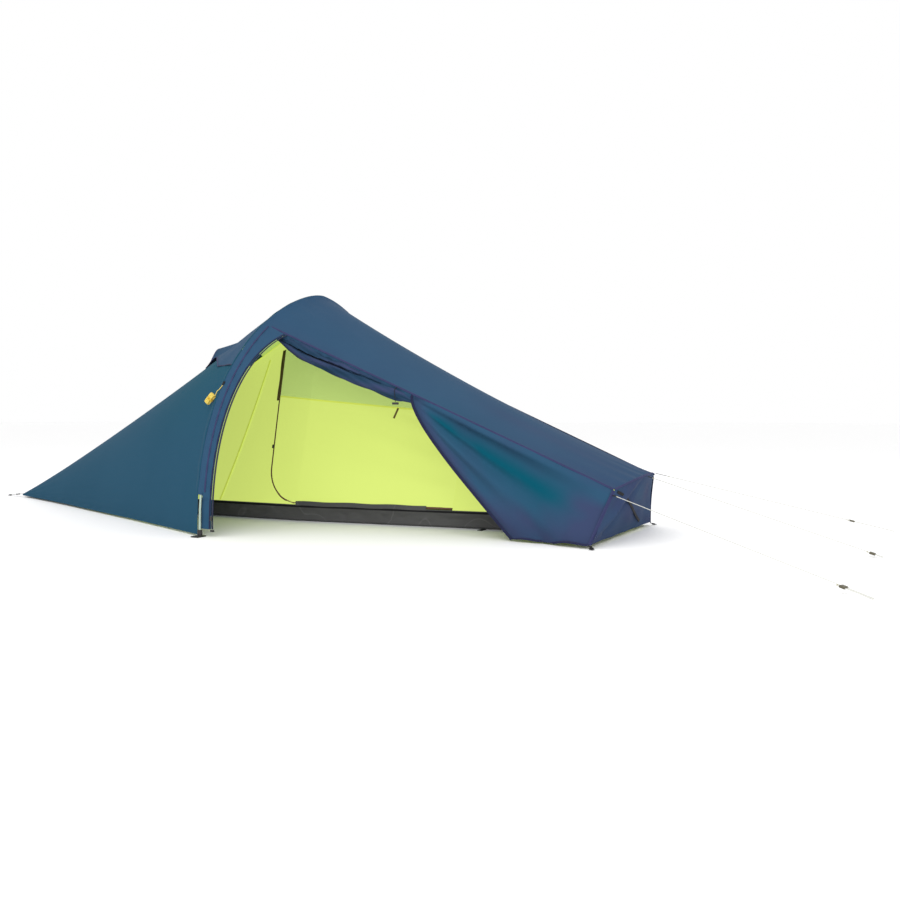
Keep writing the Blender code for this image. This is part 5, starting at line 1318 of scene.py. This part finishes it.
def build_ground():
    """Groundsheet as a soft tray: floor, a turned-up wall with a round foot, and a hem."""
    xs = np.concatenate([np.linspace(INNER_HEAD_X, 0, 70)[:-1], np.linspace(0, INNER_FOOT_X, 110)])
    outline = [(x, float(along_inner(NEAR_EDGE_Y, x)), 0) for x in xs]
    y0, y1 = along_inner(NEAR_EDGE_Y, INNER_FOOT_X), along_inner(FAR_EDGE_Y, INNER_FOOT_X)
    outline += [(INNER_FOOT_X, y, 0) for y in np.linspace(y0, y1, 30)[1:-1]]
    outline += [(x, float(along_inner(FAR_EDGE_Y, x)), 0) for x in xs[::-1]]
    y0, y1 = along_inner(FAR_EDGE_Y, INNER_HEAD_X), along_inner(NEAR_EDGE_Y, INNER_HEAD_X)
    outline += [(INNER_HEAD_X, y, 0) for y in np.linspace(y0, y1, 40)[1:-1]]
    outline = np.array(outline)
    back, ahead = np.roll(outline, 1, axis=0), np.roll(outline, -1, axis=0)
    tangent = unit(ahead - back)
    inward = np.stack([-tangent[:, 1], tangent[:, 0], 0 * tangent[:, 0]], axis=-1)
    run = np.cumsum(np.linalg.norm(outline - back, axis=1))
    round_foot = 0.012
    profile = [(0.30, 0.0008), (0.10, 0.0008), (0.03, 0.0008)]
    profile += [(round_foot * (1 - math.sin(a)), 0.0008 + round_foot * (1 - math.cos(a)))
                for a in np.linspace(0, math.pi / 2, 7)]
    profile += [(0.0008, z) for z in np.linspace(0.020, FLOOR_WALL, 10)]
    grid = []
    for inset, z in profile:
        if inset > FLOOR_FLAT:
            outside = inset < 0.2
            line = lerp(outline + inward * FLOOR_FLAT, FLOOR_MIDDLE, 0.25 if outside else 0.9)
            line[:, 0] = outline[:, 0] * (0.93 if outside else 0.25)
        else:
            line = outline + inward * inset
        height = np.clip((z - 0.01) / 0.05, 0, 1)
        crumple = 0.0060 * noise(run * 16, 0 * run + z * 30, 81)
        crumple = crumple + 0.0040 * noise(run * 38, 0 * run + z * 60, 82)
        line = line + inward * ((crumple + 0.005) * math.sin(math.pi * height))[:, None]
        line[:, 2] = z + (0.0006 * (noise(run * 12, 0 * run, 83) + 1) if inset > 0.012 else 0)
        grid.append(line)
    grid = np.stack(grid, axis=1)
    panel("groundsheet_cloth", grid, "ground", TENT, "groundsheet", ["inner_floor"], held="laid",
          rests_on=["inner_hanger_ridge"], thickness=0.0012, closed=True)
    hem = np.vstack([outline, outline[:1]]) + np.array([0, 0, FLOOR_WALL - 0.002])
    out = -np.vstack([inward, inward[:1]])
    strip("groundsheet_hem", hem + out * 0.0002, out, 0.008, 0.0012, "webbing", TENT)


# ---------------------------------------------------------------- cords
def curve_cord(name, points, material, nodes):
    """A round cord along points, which stands for the CAD nodes named."""
    data = bpy.data.curves.new(name, "CURVE")
    data.dimensions = "3D"
    data.bevel_depth = CORD_RADIUS
    data.bevel_resolution = 3
    data.use_fill_caps = True
    spline = data.splines.new("POLY")
    spline.points.add(len(points) - 1)
    for spot, p in zip(spline.points, points):
        spot.co = (*map(float, p), 1.0)
    data.materials.append(MATERIAL[material])
    made = bpy.data.objects.new(name, data)
    bpy.context.scene.collection.objects.link(made)
    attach(made, TENT)
    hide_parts(*nodes)
    return made


def knot(name, place, along):
    """Small knot on a guy line: KNOT_TURNS tight turns of cord round it."""
    side = unit(np.cross(along, (0, 0, 1.0)))
    up = np.cross(side, along)
    points = []
    for w in np.linspace(0, 2 * math.pi * KNOT_TURNS, 30):
        points.append(place + along * (w / 10 - 0.5) * CORD_RADIUS * 1.6
                      + (math.cos(w) * side + math.sin(w) * up) * CORD_RADIUS * 1.15)
    return sweep(name, round_rings(points, CORD_RADIUS * 0.9), "cord", TENT)


def build_guys():
    for name, (start, peg, loop, tab) in GUYS.items():
        start, peg = np.array(start), np.array(peg)
        away = unit(peg - start)
        side = unit(np.cross(away, (0, 0, 1.0)))
        turn = peg - away * RUNNER_LANE
        first = start + away * (tab + 0.0016)
        route = [lerp(first, turn, k) for k in np.linspace(0, 0.97, 24)]
        for w in range(0, 181, 12):
            a = math.radians(w)
            route.append(turn + RUNNER_LANE * (math.sin(a) * away + (1 - math.cos(a)) * side))
        reach = loop - RUNNER_LANE + RUNNER_HALF + RUNNER_TAIL
        tail = turn + 2 * RUNNER_LANE * side
        route += [tail - away * reach * k for k in (0.25, 0.5, 0.75, 1.0)]
        line = curve_cord(f"guy_cord_{name}", route, "cord", [f"guy_line_{name}"])
        end = knot(f"guy_knot_{name}", route[-1] - away * 0.001, away)
        tie = knot(f"guy_tie_{name}", route[0] + away * 0.004, away)


def build_hank():
    """Spare guy line: hangs from its tab and is wound into a hank with a wrap round its middle."""
    share = share_at_height(STORM_TAB_HEIGHT)
    out = hoop_normal(share)
    slope = unit(hoop_at(share + 0.006) - hoop_at(share - 0.006))
    down = -np.array([0.0, slope[0], slope[1]])
    root = hoop_point(share) + out * 0.0016
    top = root + down * (0.016 + 0.0024)
    neck = top + np.array([-0.022, -0.020, -0.032])
    low = neck + np.array([-0.038, -0.012, -0.044])
    axis = unit(low - neck)
    flat = unit(np.cross(axis, (1.0, 0.2, 0.3)))
    deep = np.cross(axis, flat)
    middle = lerp(neck, low, 0.48)
    half, bend, pitch = 0.0155, 0.0076, 0.00275
    points = [top, lerp(top, neck, 0.35) + np.array([0, -0.001, -0.003]), lerp(top, neck, 0.72)]
    for n in range(HANK_TURNS * 24):
        w = 2 * math.pi * n / 24 + math.pi / 2
        c, s = math.cos(w), math.sin(w)
        level = (n / 24 - (HANK_TURNS - 1) / 2) * pitch
        lengthwise = -(half * np.sign(s) * min(1.0, abs(s) * 1.6)) - bend * s
        spot = middle + axis * lengthwise + flat * bend * c
        points.append(spot + deep * level)
    tail = points[-1] + axis * 0.004 + deep * 0.0032
    points += [tail, tail + axis * 0.010 + deep * 0.001, tail + axis * 0.020 - flat * 0.002,
               tail + axis * 0.030 - flat * 0.005, tail + axis * 0.038 - flat * 0.009]
    line = curve_cord("spare_guy_cord", points, "hank", ["storm_guy_hank"])
    wrap = []
    for w in np.linspace(0, 2 * math.pi * HANK_WRAP_TURNS, 90):
        wrap.append(middle + axis * (w / 20 - 0.5) * 0.0088
                    + flat * math.cos(w) * (bend + 0.0028)
                    + deep * math.sin(w) * (pitch * 3 + 0.0030))
    tie = sweep("spare_guy_wrap", round_rings(wrap, CORD_RADIUS * 0.95), "hank", TENT)


# ---------------------------------------------------------------- small parts, light and camera
def build_small_parts():
    repaint("alloy", *[f"pole_section_{n}" for n in range(1, 8)])
    repaint("elastic", "shock_cord")
    repaint("plastic", "pole_foot_near", "pole_foot_far", "door_toggle", "fly_zip_slider",
            "inner_zip_slider", "head_ring", "foot_ring_near", "foot_ring_far", "head_buckle",
            "vent_stay", "door_hem_hook", "inner_hanger_ridge", "inner_hanger_side")
    repaint("runner", *[f"guy_runner_{n}" for n in GUYS])
    repaint("strap", "toggle_loop", "head_strap", "foot_strap_near", "foot_strap_far",
            "guy_tab_near",
            "guy_tab_centre", "guy_tab_far", "storm_guy_tab", "end_vent_tape", "floor_peg_loop")
    repaint("tie", "inner_door_tie")


def area_light(name, place, target, size, power):
    data = bpy.data.lights.new(name, "AREA")
    data.shape = "RECTANGLE"
    data.size, data.size_y = size
    data.energy = power
    made = bpy.data.objects.new(name, data)
    made.location = place
    made.rotation_euler = (Vector(target) - Vector(place)).to_track_quat("-Z", "Y").to_euler()
    bpy.context.scene.collection.objects.link(made)


def build_stage():
    mesh = bpy.data.meshes.new("floor")
    size = FLOOR_HALF_SIZE
    mesh.from_pydata([(-size, -size, 0), (size, -size, 0), (size, size, 0), (-size, size, 0)], [],
                     [(0, 1, 2, 3)])
    made, _, shader = new_material("pale_floor", 0.9)
    shader.inputs["Base Color"].default_value = FLOOR_SHADE
    mesh.materials.append(made)
    floor = bpy.data.objects.new("floor", mesh)
    floor.location.z = -0.0005
    bpy.context.scene.collection.objects.link(floor)
    world = bpy.data.worlds.new("studio")
    world.use_nodes = True
    world.node_tree.nodes["Background"].inputs[0].default_value = (1.0, 1.0, 1.0, 1.0)
    world.node_tree.nodes["Background"].inputs[1].default_value = 1.0
    bpy.context.scene.world = world
    area_light("key", (2.9, -4.6, 1.6), (0.2, 0.0, 0.4), (3.5, 2.0), 95)
    area_light("top", (0.5, -2.5, 5.5), (0.2, 0.0, 0.4), (5.0, 4.0), 50)
    area_light("back", (-1.0, 5.0, 4.5), (0.0, 0.0, 0.5), (5.0, 3.0), 40)
    bpy.context.scene.view_settings.view_transform = "Standard"


def build_camera():
    data = bpy.data.cameras.new("camera")
    data.lens = CAMERA_LENS
    data.sensor_width = 36.0
    data.clip_end = 200.0
    made = bpy.data.objects.new("camera", data)
    made.location = CAMERA_PLACE
    made.rotation_euler = CAMERA_TURN
    bpy.context.scene.collection.objects.link(made)
    bpy.context.scene.camera = made


for build in (
    build_stage, build_camera, build_small_parts, build_roof, build_far_side, build_end_wall,
    build_sleeve, build_head, build_hood, build_band, build_fly_zip, build_door_panel,
    build_roof_seams, build_roll, build_inner_walls, build_inner_seams, build_inner_zip,
    build_inner_far, build_ground, build_guys, build_hank,
):
    build()
